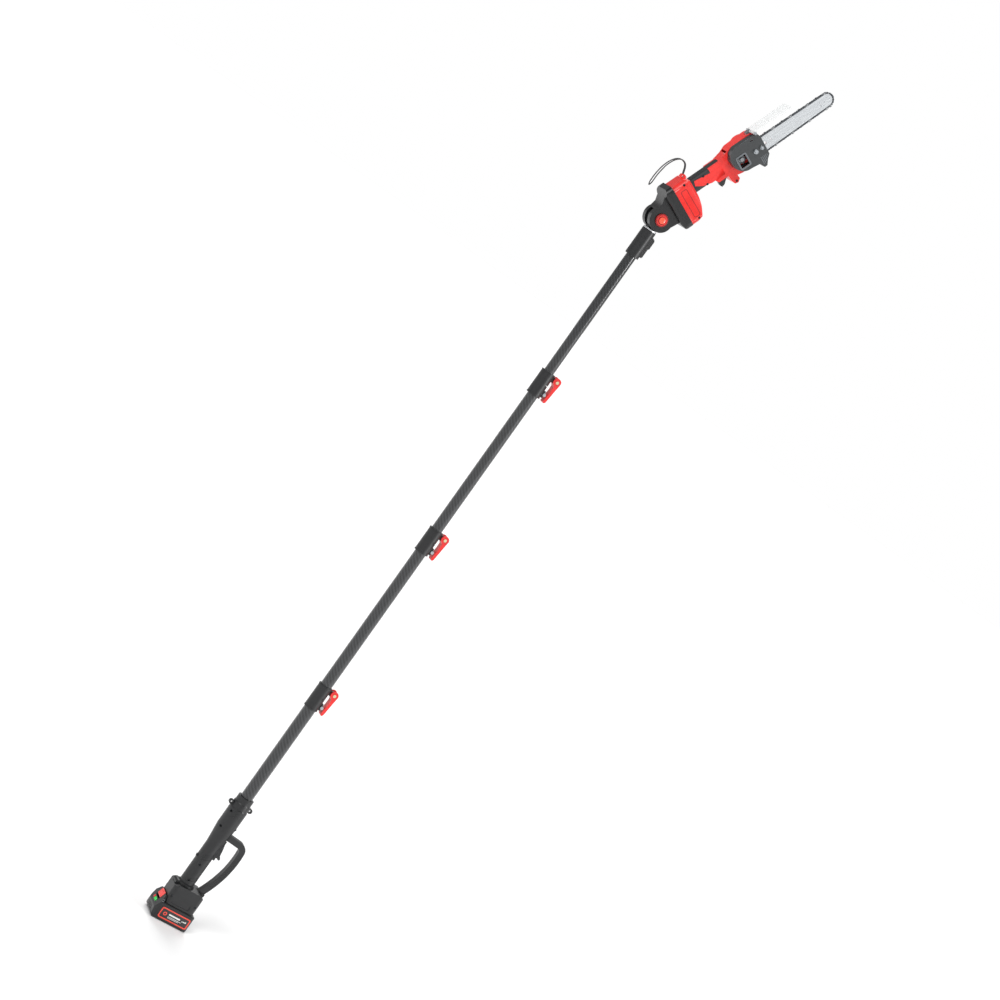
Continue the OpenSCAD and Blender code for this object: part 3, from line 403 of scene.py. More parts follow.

# Handle screws: 3.5 mm pan-head self-tapping screws in black oxide steel with a cross recess.
# Each head sits in a counterbore of the near shell and its shank runs into the far shell's post.


def machined(name, dark, light, roughness, across, stretch=(1, 1, 1), turn=0.0):
    """A bare metal with the fine lines that its cutter, grinder or die left in it."""
    metal = new_material(name)
    at = put(metal, "TexCoord")
    square = put(metal, "VectorRotate", {"Vector": at.outputs["Object"], "Angle": -turn},
                 rotation_type="Y_AXIS")
    lay = put(metal, "Mapping", {"Vector": square.outputs[0], "Scale": stretch})
    lines = put(metal, "TexNoise", {"Vector": lay.outputs[0], "Scale": 1 / across, "Detail": 4,
                                    "Roughness": 0.7}).outputs["Fac"]
    return plain(metal, {
        "Base Color": two_tone(metal, lines, dark, light, 0.3, 0.7), "Metallic": 1.0,
        "Roughness": ranged(metal, lines, roughness + 0.08, roughness - 0.06, 0.3, 0.7),
        "Normal": relief(metal, lines, 0.2, across / 4)})


# zinc: pale blue-grey, with the faint cloudiness of the plating bath
zinc_steel = machined("zinc_plated_steel", "#8C9196", "#C6CACE", 0.32, 1.5 * MM)
# black oxide: nearly black, with a dull oily shine on the edges of the cross
black_steel = machined("black_oxide_steel", "#1C1D1F", "#46484B", 0.36, 1.5 * MM)


def refinish(node, slot, *materials):
    """Gives a CAD node that keeps its shape its real finish in place of its plain colour."""
    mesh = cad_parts[node].data
    mesh.materials.clear()
    for material in materials:
        mesh.materials.append(material)


def loft(shape, rings):
    """Adds to a bmesh a closed skin over rings of points that have the same count."""
    rows = [[shape.verts.new(p) for p in ring] for ring in rings]
    count = len(rings[0])
    for low, high in zip(rows, rows[1:]):
        for k in range(count):
            shape.faces.new([low[k], low[(k + 1) % count], high[(k + 1) % count], high[k]])
    shape.faces.new(rows[0][::-1])
    shape.faces.new(rows[-1])


def cross_recess(reach, half):
    """Twenty-four points round a plus shape, starting at its right arm."""
    points = []
    for quarter in range(4):
        turn = Matrix.Rotation(quarter * pi / 2, 2)
        for x, y in ((reach, 0), (reach, half), ((reach + half) / 2, half), (half, half),
                     (half, (reach + half) / 2), (half, reach)):
            points.append(turn @ Vector((x, y)))
    return points


def pan_head(shape, centre, out, radius, height, pocket=True):
    """Adds a domed screw head with a cross recess. Its seat is at centre and it faces out."""
    facing = out.to_track_quat("Z", "Y").to_matrix()
    circle = [Vector((cos(k * pi / 12), sin(k * pi / 12))) for k in range(24)]
    profile = [(1, 0), (1, 0.45), (0.93, 0.75), (0.8, 0.92), (0.66, 1)]
    rings = [[centre + facing @ Vector((*(p * radius * r), h * height)) for p in circle]
             for r, h in profile]
    if pocket:
        for depth in (1.0, 0.35):
            rings.append([centre + facing @ Vector((*p, depth * height))
                          for p in cross_recess(0.55 * radius, 0.14 * radius)])
    loft(shape, rings)


def solids_of(node):
    """The lowest and highest corner of each separate solid in a CAD node."""
    shape = bmesh.new()
    shape.from_mesh(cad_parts[node].data)
    bmesh.ops.remove_doubles(shape, verts=shape.verts, dist=0.01 * MM)
    left = set(shape.verts)
    boxes = []
    while left:
        island, edge_of_island = set(), [left.pop()]
        while edge_of_island:
            vert = edge_of_island.pop()
            island.add(vert)
            for edge in vert.link_edges:
                other = edge.other_vert(vert)
                if other in left:
                    left.remove(other)
                    edge_of_island.append(other)
        boxes.append((Vector([min(v.co[k] for v in island) for k in range(3)]),
                      Vector([max(v.co[k] for v in island) for k in range(3)])))
    return sorted(boxes, key=lambda box: (round(box[0].z, 4), round(box[0].x, 4)))


def circle_at(centre, facing, radius, count=12):
    """Points round a circle that faces along a direction."""
    return [centre + facing @ Vector((cos(2 * pi * k / count) * radius,
                                      sin(2 * pi * k / count) * radius, 0)) for k in range(count)]


def screws(node, body, material):
    """Pan-head screws from the near side, in place of a CAD node of plain ones, where it has them."""
    head_h = 2.0 * MM
    shape = bmesh.new()
    near = Vector((0, -1, 0))
    facing = near.to_track_quat("Z", "Y").to_matrix()
    for low, high in solids_of(node):
        radius = (high.x - low.x) / 2
        face = Vector(((low.x + high.x) / 2, low.y, (low.z + high.z) / 2))
        pan_head(shape, face - near * head_h, near, radius, head_h)
        tip = high.y - low.y
        loft(shape, [circle_at(face - near * depth, facing, r) for depth, r in (
            (tip, 0.5 * MM), (tip - 3 * MM, 1.5 * MM), (head_h - 0.2 * MM, 1.6 * MM))])
    piece = finished(built(node + "_cross_head", shape), body, [material])
    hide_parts(node)


screws("handle_screws", "handle", black_steel)

# Control board: a green epoxy-glass board with its driver block, relay and two capacitors, lying
# across the receiver. The terminal block under it grips the battery's three blades.


def epoxy_glass():
    """Green solder mask over copper: a glossy dark green with the straight tracks just showing."""
    board = new_material("green_epoxy_glass_board")
    track = 2 * MM
    at = put(board, "TexCoord")
    tracks = put(board, "TexBrick", {"Vector": at.outputs["Object"], "Scale": 1 / (8 * track),
                                     "Color1": paint("#1F6B3A"), "Color2": paint("#237A43"),
                                     "Mortar": paint("#2F8F55"), "Mortar Size": 0.03})
    return plain(board, {"Base Color": tracks.outputs["Color"], "Roughness": 0.3, "IOR": 1.55})


grey_pbt = moulding("grey_pbt", "#4A4C50", "#66686C", 0.45, 1.55, 1.0 * MM)
refinish("control_board", "board_green", epoxy_glass())
refinish("terminal_block", "housing_black", grey_pbt[0])
refinish("main_switch", "housing_black", grey_pbt[0])

# Main trigger, its spring and the lock-off button: the trigger is a black nylon paddle with a
# swept toe, the spring is music wire, and the button stands on the back of the grip.
spring_steel = machined("music_wire", "#7C8085", "#B8BCC0", 0.28, 0.8 * MM)
moulded("main_trigger", "main_trigger", black_nylon, 1.6 * MM)


def helix(shape, start, run, radius, wire, turns):
    """Adds round wire of a given radius, wound about the line that runs from a start."""
    way = run.normalized()
    side = way.orthogonal().normalized()
    rows = []
    for i in range(turns * 14 + 1):
        angle = i * 2 * pi / 14
        out = side * cos(angle) + way.cross(side) * sin(angle)
        middle = start + run * i / (turns * 14)
        rows.append([middle + out * (radius + cos(k * pi / 3) * wire)
                     + way * sin(k * pi / 3) * wire for k in range(6)])
    loft(shape, rows)


wire_r = 0.45 * MM
low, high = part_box("trigger_spring")
wound = bmesh.new()
helix(wound, Vector((low.x + wire_r, 0, (low.z + high.z) / 2)),
      Vector((high.x - low.x - 2 * wire_r, 0, 0)), high.y - wire_r, wire_r, 6)
spring = finished(built("trigger_spring_coil", wound), "handle", [spring_steel])
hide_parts("trigger_spring")
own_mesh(spring)
moulded("lock_off_button", "lock_off_button", black_nylon, 0.8 * MM)

# Pole tubes: four nested rolled carbon-fibre tubes under clear epoxy. Each slides in the one
# below it, and the clear coat draws one long highlight down each side.
tube_d = {n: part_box(f"tube_{n}")[1].x * 2 for n in range(1, 5)}
tube_body = {1: "handle", 2: "tube_2", 3: "tube_3", 4: "tube_4"}      # the first tube is fixed


def clear_coated_carbon():
    """Twill of black tows under a glossy clear coat, with the tows of one direction painted lighter: a
    painted sheen for the way the two directions catch the light in turn. The real 1.5 mm tows are drawn 3 mm
    wide, so that the weave shows."""
    carbon = new_material("clear_coated_carbon_twill")
    tow = 3 * MM
    radius = tube_d[2] / 2
    at = put(carbon, "SeparateXYZ", {"Vector": put(carbon, "TexCoord").outputs["Object"]})
    turn = put(carbon, "Math", {0: at.outputs["Y"], 1: at.outputs["X"]}, operation="ARCTAN2")
    around = put(carbon, "Math", {0: turn.outputs[0], 1: radius / tow}, operation="MULTIPLY")
    along = put(carbon, "Math", {0: at.outputs["Z"], 1: 1 / tow}, operation="MULTIPLY")
    cells = [put(carbon, "Math", {0: way.outputs[0]}, operation="FLOOR") for way in (around, along)]
    parts = [put(carbon, "Math", {0: way.outputs[0], 1: 1.0}, operation="FLOORED_MODULO")
             for way in (around, along)]
    both = put(carbon, "Math", {0: cells[0].outputs[0], 1: cells[1].outputs[0]}, operation="ADD")
    four = put(carbon, "Math", {0: both.outputs[0], 1: 4.0}, operation="FLOORED_MODULO")
    over = put(carbon, "Math", {0: four.outputs[0], 1: 1.5}, operation="LESS_THAN")
    crown = put(carbon, "Mix", {0: over.outputs[0], 2: parts[1].outputs[0],
                                3: parts[0].outputs[0]}, data_type="FLOAT")
    round_tow = put(carbon, "Math", {0: crown.outputs[0], 1: 0.5, 2: 0.5}, operation="PINGPONG")
    # painted sheen: the tows of one direction are painted lighter than the others
    tone = put(carbon, "Mix", {0: over.outputs[0], 6: paint("#0F1012"), 7: paint("#2A2C2F")},
               data_type="RGBA")
    return plain(carbon, {
        "Base Color": tone.outputs[2], "Roughness": ranged(carbon, over.outputs[0], 0.42, 0.3),
        "IOR": 1.55, "Metallic": 0.25, "Coat Weight": 0.8, "Coat Roughness": 0.12, "Coat IOR": 1.5,
        "Normal": relief(carbon, round_tow.outputs[0], 0.5, 0.5 * MM)})


carbon = clear_coated_carbon()
for n in tube_d:
    refinish(f"tube_{n}", "carbon_tube", carbon)
    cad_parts[f"tube_{n}"].data.shade_smooth()

# Coiled lead: one four-core lead in a rubber sheath, coiled so that it shortens with the pole.
# It runs up inside the tubes in four lengths, one for each tube, and is hidden by them.
lead_d = 4.2 * MM
lead_pitch = 11 * MM
lead_slides = {1: "tube_2_slide", 2: "tube_3_slide", 3: "tube_4_slide"}


def rubber(name, dark, light, grain):
    """Black rubber: dull and soft-looking, with a faint bloom that lightens it in patches."""
    sheath = new_material(name)
    bloom = cloudy(sheath, 0.2 / (8 * MM), Detail=5)
    skin = cloudy(sheath, 1 / grain)
    return plain(sheath, {
        "Base Color": two_tone(sheath, bloom, dark, light, 0.3, 0.75), "IOR": 1.5,
        "Roughness": ranged(sheath, skin, 0.5, 0.66),
        "Normal": relief(sheath, skin, 0.25, grain / 4)})


lead_rubber = rubber("black_rubber_sheath", "#121213", "#242527", 1.0 * MM)
for n in range(1, 5):
    low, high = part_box(f"coiled_lead_{n}")
    coil_r = high.x - lead_d / 2
    turns = round((high.z - low.z - lead_d) / lead_pitch)
    coil = bmesh.new()
    helix(coil, Vector((0, 0, low.z + lead_d / 2)), Vector((0, 0, high.z - low.z - lead_d)),
          coil_r, lead_d / 2, turns)
    piece = built(f"coiled_lead_{n}_turns", coil)
    piece.data.shade_smooth()
    finished(piece, tube_body[n], [lead_rubber])
    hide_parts(f"coiled_lead_{n}")
    if n in lead_slides:
        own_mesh(piece)

# Clamp collars: black nylon sleeves glued on the tube ends, slit so that the cam lever can close
# them on the next tube. A raised band stands round each end.
for n in (1, 2, 3):
    moulded(f"clamp_collar_{n}", tube_body[n], black_nylon, 0.9 * MM)

# Clamp levers and their pins: red glass-filled nylon levers on brass-plated pins, with a steel
# adjusting bolt and nut below. On the real saw their cams squeeze the collars shut.
red_nylon = moulding("red_nylon", "#E3201D", "#F2544C", 0.36, 1.53, 1.2 * MM)
brass = machined("brass_plated_steel", "#C2B184", "#EFE6C8", 0.3, 1.2 * MM)
for n in (1, 2, 3):
    moulded(f"clamp_lever_{n}", f"lever_{n}", red_nylon, 1.4 * MM)
    refinish(f"clamp_pins_{n}", "brass_pin", brass, zinc_steel)
    low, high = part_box(f"clamp_pins_{n}")
    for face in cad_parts[f"clamp_pins_{n}"].data.polygons:
        face.material_index = int(face.center.z < (low.z + high.z) / 2)

# Battery cases: a lower tray and an upper lid with the slide rails, moulded in black ABS and
# welded round ten cells. Two short ridges on each shoulder beside the latch are drawn in bright silver
# metal, a painted highlight.
black_abs = moulding("black_abs", "#111214", "#3C3F42", 0.32, 1.53, 1.0 * MM)
for part in ("lower", "upper"):
    moulded(f"battery_{part}_case", "battery", black_abs, 1.1 * MM)
battery_low, battery_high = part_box("battery_lower_case")
battery_half_w = battery_high.y
face_foot = Vector((battery_low.x, 0, 26 * MM))      # sloped front, at its foot and its top
face_top = Vector((-40 * MM, 0, 54 * MM))
face_up = (face_top - face_foot).normalized()
face_out = Vector((-face_up.z, 0, face_up.x))
# a painted highlight: the ridges are drawn in bright silver metal, not in the case's black
shine = machined("painted_highlight_silver", "#A9ADB2", "#E4E7EA", 0.25, 1.0 * MM)
ridges = bmesh.new()
for y_side in (-1, 1):
    for down, start in ((3.4, -41.2), (8.6, -39.6)):
        out = Vector((0, y_side * 0.85, 0.53))
        slope = Vector((0, -y_side * 0.53, 0.85))
        foot = Vector((start * MM, y_side * battery_half_w, 46 * MM)) + slope * down * MM
        swept_bar(ridges, [foot + Vector((x * MM, 0, 0)) for x in (0, 2.6, 5.0)], [out] * 3,
                  1.9 * MM, 0.5 * MM)
finished(built("battery_shoulder_ridges", ridges), "battery", [shine])

# Battery cells: ten 18650 lithium cells in two rows, each in a blue heat-shrink sleeve.


def shrink_sleeve():
    """Thin blue film with fine creases round the can, which make its gloss uneven."""
    sleeve = new_material("blue_heat_shrink_film")
    at = put(sleeve, "TexCoord")
    lay = put(sleeve, "Mapping", {"Vector": at.outputs["Object"], "Scale": (1, 0.1, 1)})
    crease = put(sleeve, "TexNoise", {"Vector": lay.outputs[0], "Scale": 1 / (2 * MM), "Detail": 3})
    return plain(sleeve, {
        "Base Color": two_tone(sleeve, crease.outputs["Fac"], "#245C97", "#3A82CC"),
        "Roughness": 0.25, "IOR": 1.5,
        "Normal": relief(sleeve, crease.outputs["Fac"], 0.3, 0.2 * MM)})


refinish("battery_cells", "cell_blue", shrink_sleeve())

# Battery labels: printed film on both flanks, black inside a broad red-orange border, with a
# round mark, a row of bars and three fine rules that stand in for the maker's print.


def printed_film(name, tone, fleck, roughness):
    """Glossy ink on polyester film, with the faint speckle of screen printing."""
    film = new_material(name)
    speck = cloudy(film, 1 / (0.8 * MM))
    return plain(film, {
        "Base Color": two_tone(film, speck, fleck, tone, 0.3, 0.55), "Roughness": roughness,
        "IOR": 1.5, "Coat Weight": 0.5, "Coat Roughness": 0.1})


black_film = printed_film("black_label_film", "#151516", "#0C0C0D", 0.3)
red_film = printed_film("red_orange_label_ink", "#F2452F", "#D93A26", 0.3)
white_film = printed_film("white_label_ink", "#E9E9E6", "#D6D6D2", 0.35)
label_low, label_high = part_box("battery_labels")


def rounded_rectangle(x0, x1, z0, z1, radius, steps=5):
    """Corner points of a rectangle with round corners, in X and Z."""
    points = []
    for x, z, start in ((x1 - radius, z1 - radius, 0), (x0 + radius, z1 - radius, 90),
                        (x0 + radius, z0 + radius, 180), (x1 - radius, z0 + radius, 270)):
        points += [(x + radius * cos(radians(start + 90 * i / steps)),
                    z + radius * sin(radians(start + 90 * i / steps))) for i in range(steps + 1)]
    return points


def round_outline(x, z, radius, count=24):
    """Points round a circle, in X and Z."""
    turns = [2 * pi * i / count for i in range(count)]
    return [(x + radius * cos(turn), z + radius * sin(turn)) for turn in turns]


def in_metres(outline):
    """An outline from millimetres to metres."""
    return [(x * MM, z * MM) for x, z in outline]


def plate(shape, outline, y0, y1, hole=None):
    """Adds a flat plate between two planes square to Y, with an optional hole of as many points."""
    rings = [[Vector((x, y, z)) for x, z in outline] for y in (y0, y1)]
    if hole is None:
        loft(shape, rings)
        return
    inner = [[Vector((x, y, z)) for x, z in hole] for y in (y0, y1)]
    rows = [[shape.verts.new(p) for p in ring]
            for ring in (rings[0], rings[1], inner[1], inner[0])]
    for k, row in enumerate(rows):
        other = rows[(k + 1) % 4]
        for i in range(len(row)):
            j = (i + 1) % len(row)
            shape.faces.new([row[i], row[j], other[j], other[i]])


def label_part(name, material, parts):
    """One ink of both labels. Each part is an outline and a hole in millimetres, between them the
    height off the case."""
    shape = bmesh.new()
    for side in (-1, 1):
        for outline, height, hole in parts:
            plate(shape, in_metres(outline), side * (battery_half_w - 0.2 * MM),
                  side * (battery_half_w + height), hole and in_metres(hole))
    return finished(built(name, shape), "battery", [material])


film_h = label_high.y - battery_half_w
lx0, lx1, lz0, lz1 = (v / MM for v in (label_low.x, label_high.x, label_low.z, label_high.z))
edge = rounded_rectangle(lx0, lx1, lz0, lz1, 4.5)
border_w = 3.2
border = [(edge, 0.75 * film_h, rounded_rectangle(
    lx0 + border_w, lx1 - border_w, lz0 + border_w, lz1 - border_w, 2.6))]
middle_z = (lz0 + lz1) / 2
print_h = 0.7 * film_h
rules = [(rounded_rectangle(lx0 + 26, lx0 + 26 + w, middle_z - z, middle_z - z + h, 0.3 * h),
          print_h, None) for w, z, h in ((34, -0.5, 4.2), (40, 4.4, 1.3), (33, 7.4, 1.1))]
rules += [(rounded_rectangle(lx1 - 21 + 4.6 * i, lx1 - 17.6 + 4.6 * i, middle_z,
                             middle_z + 2.2 + i, 0.4), print_h, None) for i in range(3)]
mark = [(round_outline(lx0 + 15, middle_z, 5.2), print_h, round_outline(lx0 + 15, middle_z, 2.6))]
backing = label_part("battery_label_film", black_film, [(edge, 0.4 * film_h, None)])
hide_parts("battery_labels")
label_part("battery_label_border", red_film, border + mark)
label_part("battery_label_rules", white_film, rules)

# Charge gauge: a smoked green window in the sloped front with four lit bars behind it, and the
# small red button that wakes it.


def lit_window(name, tone, glow, strength):
    """Tinted acrylic that a lamp behind it lights, with a cloudy change between its dark and bright tone."""
    window = new_material(name)
    ink = two_tone(window, cloudy(window, 1 / (3 * MM)), tone, glow)
    return plain(window, {"Base Color": ink, "Roughness": 0.12, "IOR": 1.49,
                          "Emission Color": ink, "Emission Strength": strength})


gauge_glass = lit_window("smoked_green_acrylic", "#06260D", "#0C3F17", 0.15)
gauge_lamp = lit_window("lit_green_acrylic", "#1FB43C", "#35E058", 0.9)
moulded("battery_gauge_lens", "battery", [gauge_glass, gauge_glass], 0.5 * MM)
bars = bmesh.new()
for i in range(4):
    y = (-11.2 + 4.4 * i) * MM
    low_end = face_foot + face_up * 7.4 * MM + face_out * 0.5 * MM + Vector((0, y + 1 * MM, 0))
    swept_bar(bars, [low_end + face_up * t * 2.4 * MM for t in (0, 1, 2, 3)], [face_out] * 4,
              2.2 * MM, 0.3 * MM)
finished(built("battery_gauge_bars", bars), "battery", [gauge_lamp])
moulded("gauge_button", "gauge_button", red_nylon, 0.5 * MM)

# Battery latch: a red ABS push plate with a finger scoop, in the case's nose, with three ribs
# across it for the thumb.
red_abs = moulding("red_abs", "#E8302B", "#F4615A", 0.30, 1.53, 1.2 * MM)
moulded("battery_latch", "battery_latch", red_abs, 1.6 * MM)
grips = bmesh.new()
for i in range(3):
    foot = Vector((-41.3 * MM, 0, 54 * MM)) + Vector((0.95, 0, 3.1)) * i * MM
    swept_bar(grips, [foot + Vector((0, y * MM, 0)) for y in (-9, 0, 9)],
              [Vector((-0.958, 0, 0.287))] * 3, 1.6 * MM, 0.5 * MM)
# the ribs are all in the latch's lighter edge colour, a painted highlight on them
finished(built("battery_latch_ribs", grips), "battery_latch", red_abs[1:])

# Top socket, ring, latch and tongue: a black nylon socket glued over the last tube, an anodised
# aluminium ring on it, and the cast tongue that carries the knuckle. The latch is ribbed nylon.


def cast_aluminium(name, dark, light):
    """Die-cast aluminium under a baked black coat, with the orange-peel ripple of the coat."""
    cast = new_material(name)
    ripple = cloudy(cast, 1 / (2.5 * MM))
    return plain(cast, {
        "Base Color": two_tone(cast, ripple, dark, light), "Metallic": 0.35, "Roughness": 0.36,
        "IOR": 1.5, "Normal": relief(cast, ripple, 0.3, 0.4 * MM)})


coated_casting = cast_aluminium("black_coated_cast_aluminium", "#202124", "#323437")
anodised = machined("clear_anodised_aluminium", "#C4C6C9", "#ECEDEE", 0.3, 0.9 * MM, (1, 1, 8))
moulded("top_socket", "tube_4", black_nylon, 1.0 * MM)
moulded("socket_latch", "socket_latch", black_nylon, 0.5 * MM)
moulded("socket_ring", "tube_4", [anodised, anodised], 0.7 * MM)
refinish("knuckle_tongue", "steel", coated_casting)

# Knuckle: two black ABS shells that make the ears astride the tongue and the block the saw sits on,
# joined by a steel pivot bolt.
for side in ("near", "far"):
    moulded(f"adapter_{side}_shell", "head", black_abs, 2.6 * MM)
refinish("pivot_bolt", "steel", zinc_steel)

# Tilt button: a serrated dark red ring with a brighter ring set in it and a domed cap, all of
# ABS. Pressing it frees the knuckle, and it turns with the saw.
pivot = Vector((0, 0, 2190 * MM))
tilt = radians(21.7)
dark_red_abs = moulding("dark_red_abs", "#8E0F12", "#C4302B", 0.34, 1.53, 1.2 * MM)
moulded("tilt_button", "tilt_button", dark_red_abs, 0.5 * MM)


def turned(shape, centre, facing, profile, count=40):
    """Adds a solid of revolution: its profile is radius and height along the way it faces."""
    loft(shape, [circle_at(centre + facing @ Vector((0, 0, h)), facing, r, count)
                 for r, h in profile])


facing_near = Vector((0, -1, 0)).to_track_quat("Z", "Y").to_matrix()
button_face = pivot + Vector((0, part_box("tilt_button")[0].y, 0))
cap = bmesh.new()
turned(cap, button_face, facing_near, [(8.5 * MM * cos(a), 1.6 * MM * sin(a)) for a in
                                       [radians(t) for t in (0, 15, 30, 45, 60, 75, 88)]])
finished(built("tilt_button_cap", cap), "tilt_button",
         moulding("bright_red_abs", "#FF6348", "#FF9C86", 0.2, 1.53, 1.2 * MM)).data.shade_smooth()
collar = bmesh.new()
plate(collar, round_outline(0, 0, 13.3 * MM, 48), button_face.y + 4.6 * MM,
      button_face.y + 2.2 * MM, round_outline(0, 0, 10.2 * MM, 48))
bmesh.ops.translate(collar, verts=collar.verts, vec=pivot)
finished(built("tilt_button_ring", collar), "tilt_button", red_abs)

# Saw shells: near and far halves moulded in red ABS, screwed together round the switch, the
# motor and the gear. A raised line frames a panel on each flank of the seat.
seat_half_w = 36 * MM
for side in ("near", "far"):
    moulded(f"saw_{side}_shell", "head", red_abs, 1.5 * MM)
head_frame = Matrix.Translation(pivot) @ Matrix.Rotation(tilt, 4, "Y")


def on_head(shape):
    """Moves a bmesh made in the saw's own frame, pivot at the origin and bar upward, to its place."""
    bmesh.ops.transform(shape, matrix=head_frame, verts=shape.verts)
    return shape


panel = bmesh.new()
for side in (-1, 1):
    plate(panel, in_metres(rounded_rectangle(-36, 42, 74, 92, 5)),
          side * (seat_half_w - 0.3 * MM), side * (seat_half_w + 0.3 * MM),
          in_metres(rounded_rectangle(-34.6, 40.6, 75.4, 90.6, 3.8)))
finished(built("seat_panel_lines", on_head(panel)), "head", dark_red_abs[:1])
screws("saw_screws", "head", black_steel)

# Grip overmould: soft black thermoplastic rubber moulded over the red core, which shows through
# it as a slanting inlay on both sides.
grip_rubber = rubber("black_thermoplastic_rubber", "#17181A", "#26282B", 1.4 * MM)
moulded("grip_overmould", "head", [grip_rubber, grip_rubber], 1.6 * MM)

# Saw switch, trigger and lock button: a grey switch block, a black nylon trigger ahead of the
# grip, and a round black button on the motor's side that has to be held in first.
refinish("saw_switch", "housing_black", grey_pbt[0])
moulded("saw_trigger", "saw_trigger", black_nylon, 1.2 * MM)
moulded("saw_lock_button", "saw_lock_button", black_nylon, 0.8 * MM)

# Motor and drive: a steel can with its rotor and pinion, and the sintered gear that carries the
# chain's sprocket on the other side of the housing.
can_steel = machined("drawn_steel", "#7E8286", "#B9BCC0", 0.3, 1.0 * MM, (1, 0.1, 1))
sintered = machined("oiled_sintered_steel", "#6F7276", "#A4A7AA", 0.4, 0.9 * MM)
copper_wound = machined("varnished_steel_laminations", "#5C5E62", "#8F8A84", 0.4, 0.9 * MM,
                        (1, 6, 1))
refinish("motor_can", "steel", can_steel)
refinish("motor_rotor", "steel", copper_wound)
refinish("drive_gear", "steel", sintered)

# Sprocket cover: dark grey glass-filled nylon, held on two studs, with a window over the
# sprocket framed by a raised rim, and five short ribs beside the bar.
grey_nylon = moulding("dark_grey_nylon", "#2F3234", "#6A6E72", 0.42, 1.53, 1.4 * MM)
moulded("sprocket_cover", "head", grey_nylon, 2.2 * MM)
cover_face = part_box("sprocket_cover")[0].y
rim = bmesh.new()
plate(rim, in_metres(rounded_rectangle(-28.5, 8.5, 234.5, 266.5, 5)),
      cover_face + 0.4 * MM, cover_face - 0.9 * MM,
      in_metres(rounded_rectangle(-24.4, 4.4, 238.6, 262.4, 1.4)))
for z, reach in ((293, 28), (297.4, 27), (301.8, 24), (306.2, 19), (310.6, 13)):
    plate(rim, in_metres(rounded_rectangle(7, reach, z, z + 2, 0.8)),
          cover_face + 0.4 * MM, cover_face - 0.5 * MM)
# the rim and ribs take the cover's lighter edge colour as their face, a painted highlight
finished(built("sprocket_cover_rim", on_head(rim)), "head", grey_nylon[::-1])


# Bar studs and nuts: M5 studs in the housing, with flanged hexagon nuts that clamp the cover and
# the bar together.
def hexagon_nut(shape, centre, facing, flats, height, flange):
    """Adds a hexagon nut with a washer face below and a chamfered crown, on a stud's end."""
    turned(shape, centre, facing, [(flange, 0), (flange, 0.9 * MM), (flange - 0.6 * MM, 1.3 * MM)], 24)
    across = flats / 2 / cos(pi / 6)
    loft(shape, [circle_at(centre + facing @ Vector((0, 0, h)), facing, across * r, 6)
                 for r, h in ((1, 1.2 * MM), (1, height - 0.5 * MM), (0.9, height))])
    turned(shape, centre, facing, [(2.5 * MM, 1 * MM), (2.5 * MM, height + 0.7 * MM),
                                   (2.1 * MM, height + 1.0 * MM)], 20)


nuts = bmesh.new()
drive_x, drive_z = -12, 252
drive_at = Vector((drive_x, 0, drive_z)) * MM
for up, flats in ((38 * MM, 10.6 * MM), (56 * MM, 8.6 * MM)):
    seat = Vector((drive_at.x, cover_face, drive_at.z + up))
    hexagon_nut(nuts, seat, facing_near, flats, 4.6 * MM, flats * 0.58)
    turned(nuts, seat, facing_near, [(2.9 * MM, -24 * MM), (2.9 * MM, 0.5 * MM)], 20)
nut_piece = finished(built("cover_nuts_flanged", on_head(nuts)), "head", [zinc_steel])
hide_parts("cover_nuts")

# Guide bar: 3.2 mm hardened steel, ground lengthwise and polished, with the chain's groove milled
# round its edge, a slot at its tail for the studs and the rivets that hold the nose together. The
# grinding lines, 0.2 mm apart on the real bar, are drawn 4 mm apart so that they show.
ground_steel = machined("ground_and_polished_bar_steel", "#B0B3B6", "#C6C9CB", 0.42, 4 * MM,
                        (1, 1, 0.04), tilt)
refinish("guide_bar", "bar_steel", ground_steel)
bar_face = -23.6 * MM
bar_marks = bmesh.new()
for x, z, radius in ((-16, 496, 1.6), (-8, 496, 1.6), (-12, 507, 1.3), (-12, 522, 1.3)):
    turned(bar_marks, Vector((x * MM, bar_face + 0.2 * MM, z * MM)), facing_near,
           [(radius * MM, 0), (radius * MM, 0.3 * MM), (radius * 0.7 * MM, 0.5 * MM)], 16)
finished(built("bar_nose_rivets", on_head(bar_marks)), "head", [zinc_steel])

# Saw chain: riveted low-profile chain. Drive links run in the groove, and between them pairs of
# side straps carry left and right cutters in turn. Oiled dark steel with chromed cutters.
chain_y = -22 * MM
link_pitch = 6.5 * MM
rivet_line = 2.9 * MM
nose_at, nose_r = Vector((drive_x, 514.5)) * MM, 15.5 * MM
wheel_at, wheel_r = Vector((drive_x, drive_z)) * MM, 14.6 * MM
bar_half = 18 * MM


def round_bar(out):
    """The closed line round nose and sprocket at a height over the bar's edge, as X and Z."""
    arc = [i * pi / 24 for i in range(25)]
    return [*[nose_at + Vector((cos(a), sin(a))) * (nose_r + out) for a in arc],
            wheel_at + Vector((-bar_half - out, 60 * MM)),
            wheel_at + Vector((-bar_half - out, 36 * MM)),
            *[wheel_at - Vector((cos(a), sin(a))) * (wheel_r + out) for a in arc],
            wheel_at + Vector((bar_half + out, 36 * MM)),
            wheel_at + Vector((bar_half + out, 60 * MM))]


def spaced(line, pitch):
    """Evenly spaced points on a closed line, an even number of them, as near as can be to a pitch."""
    closed = line + line[:1]
    runs = [(b - a).length for a, b in zip(closed, closed[1:])]
    count = 2 * round(sum(runs) / pitch / 2)
    found, k, passed = [], 0, 0.0
    for i in range(count):
        while passed + runs[k] < i * sum(runs) / count:
            passed += runs[k]
            k += 1
        found.append(closed[k].lerp(closed[k + 1], (i * sum(runs) / count - passed) / runs[k]))
    return found


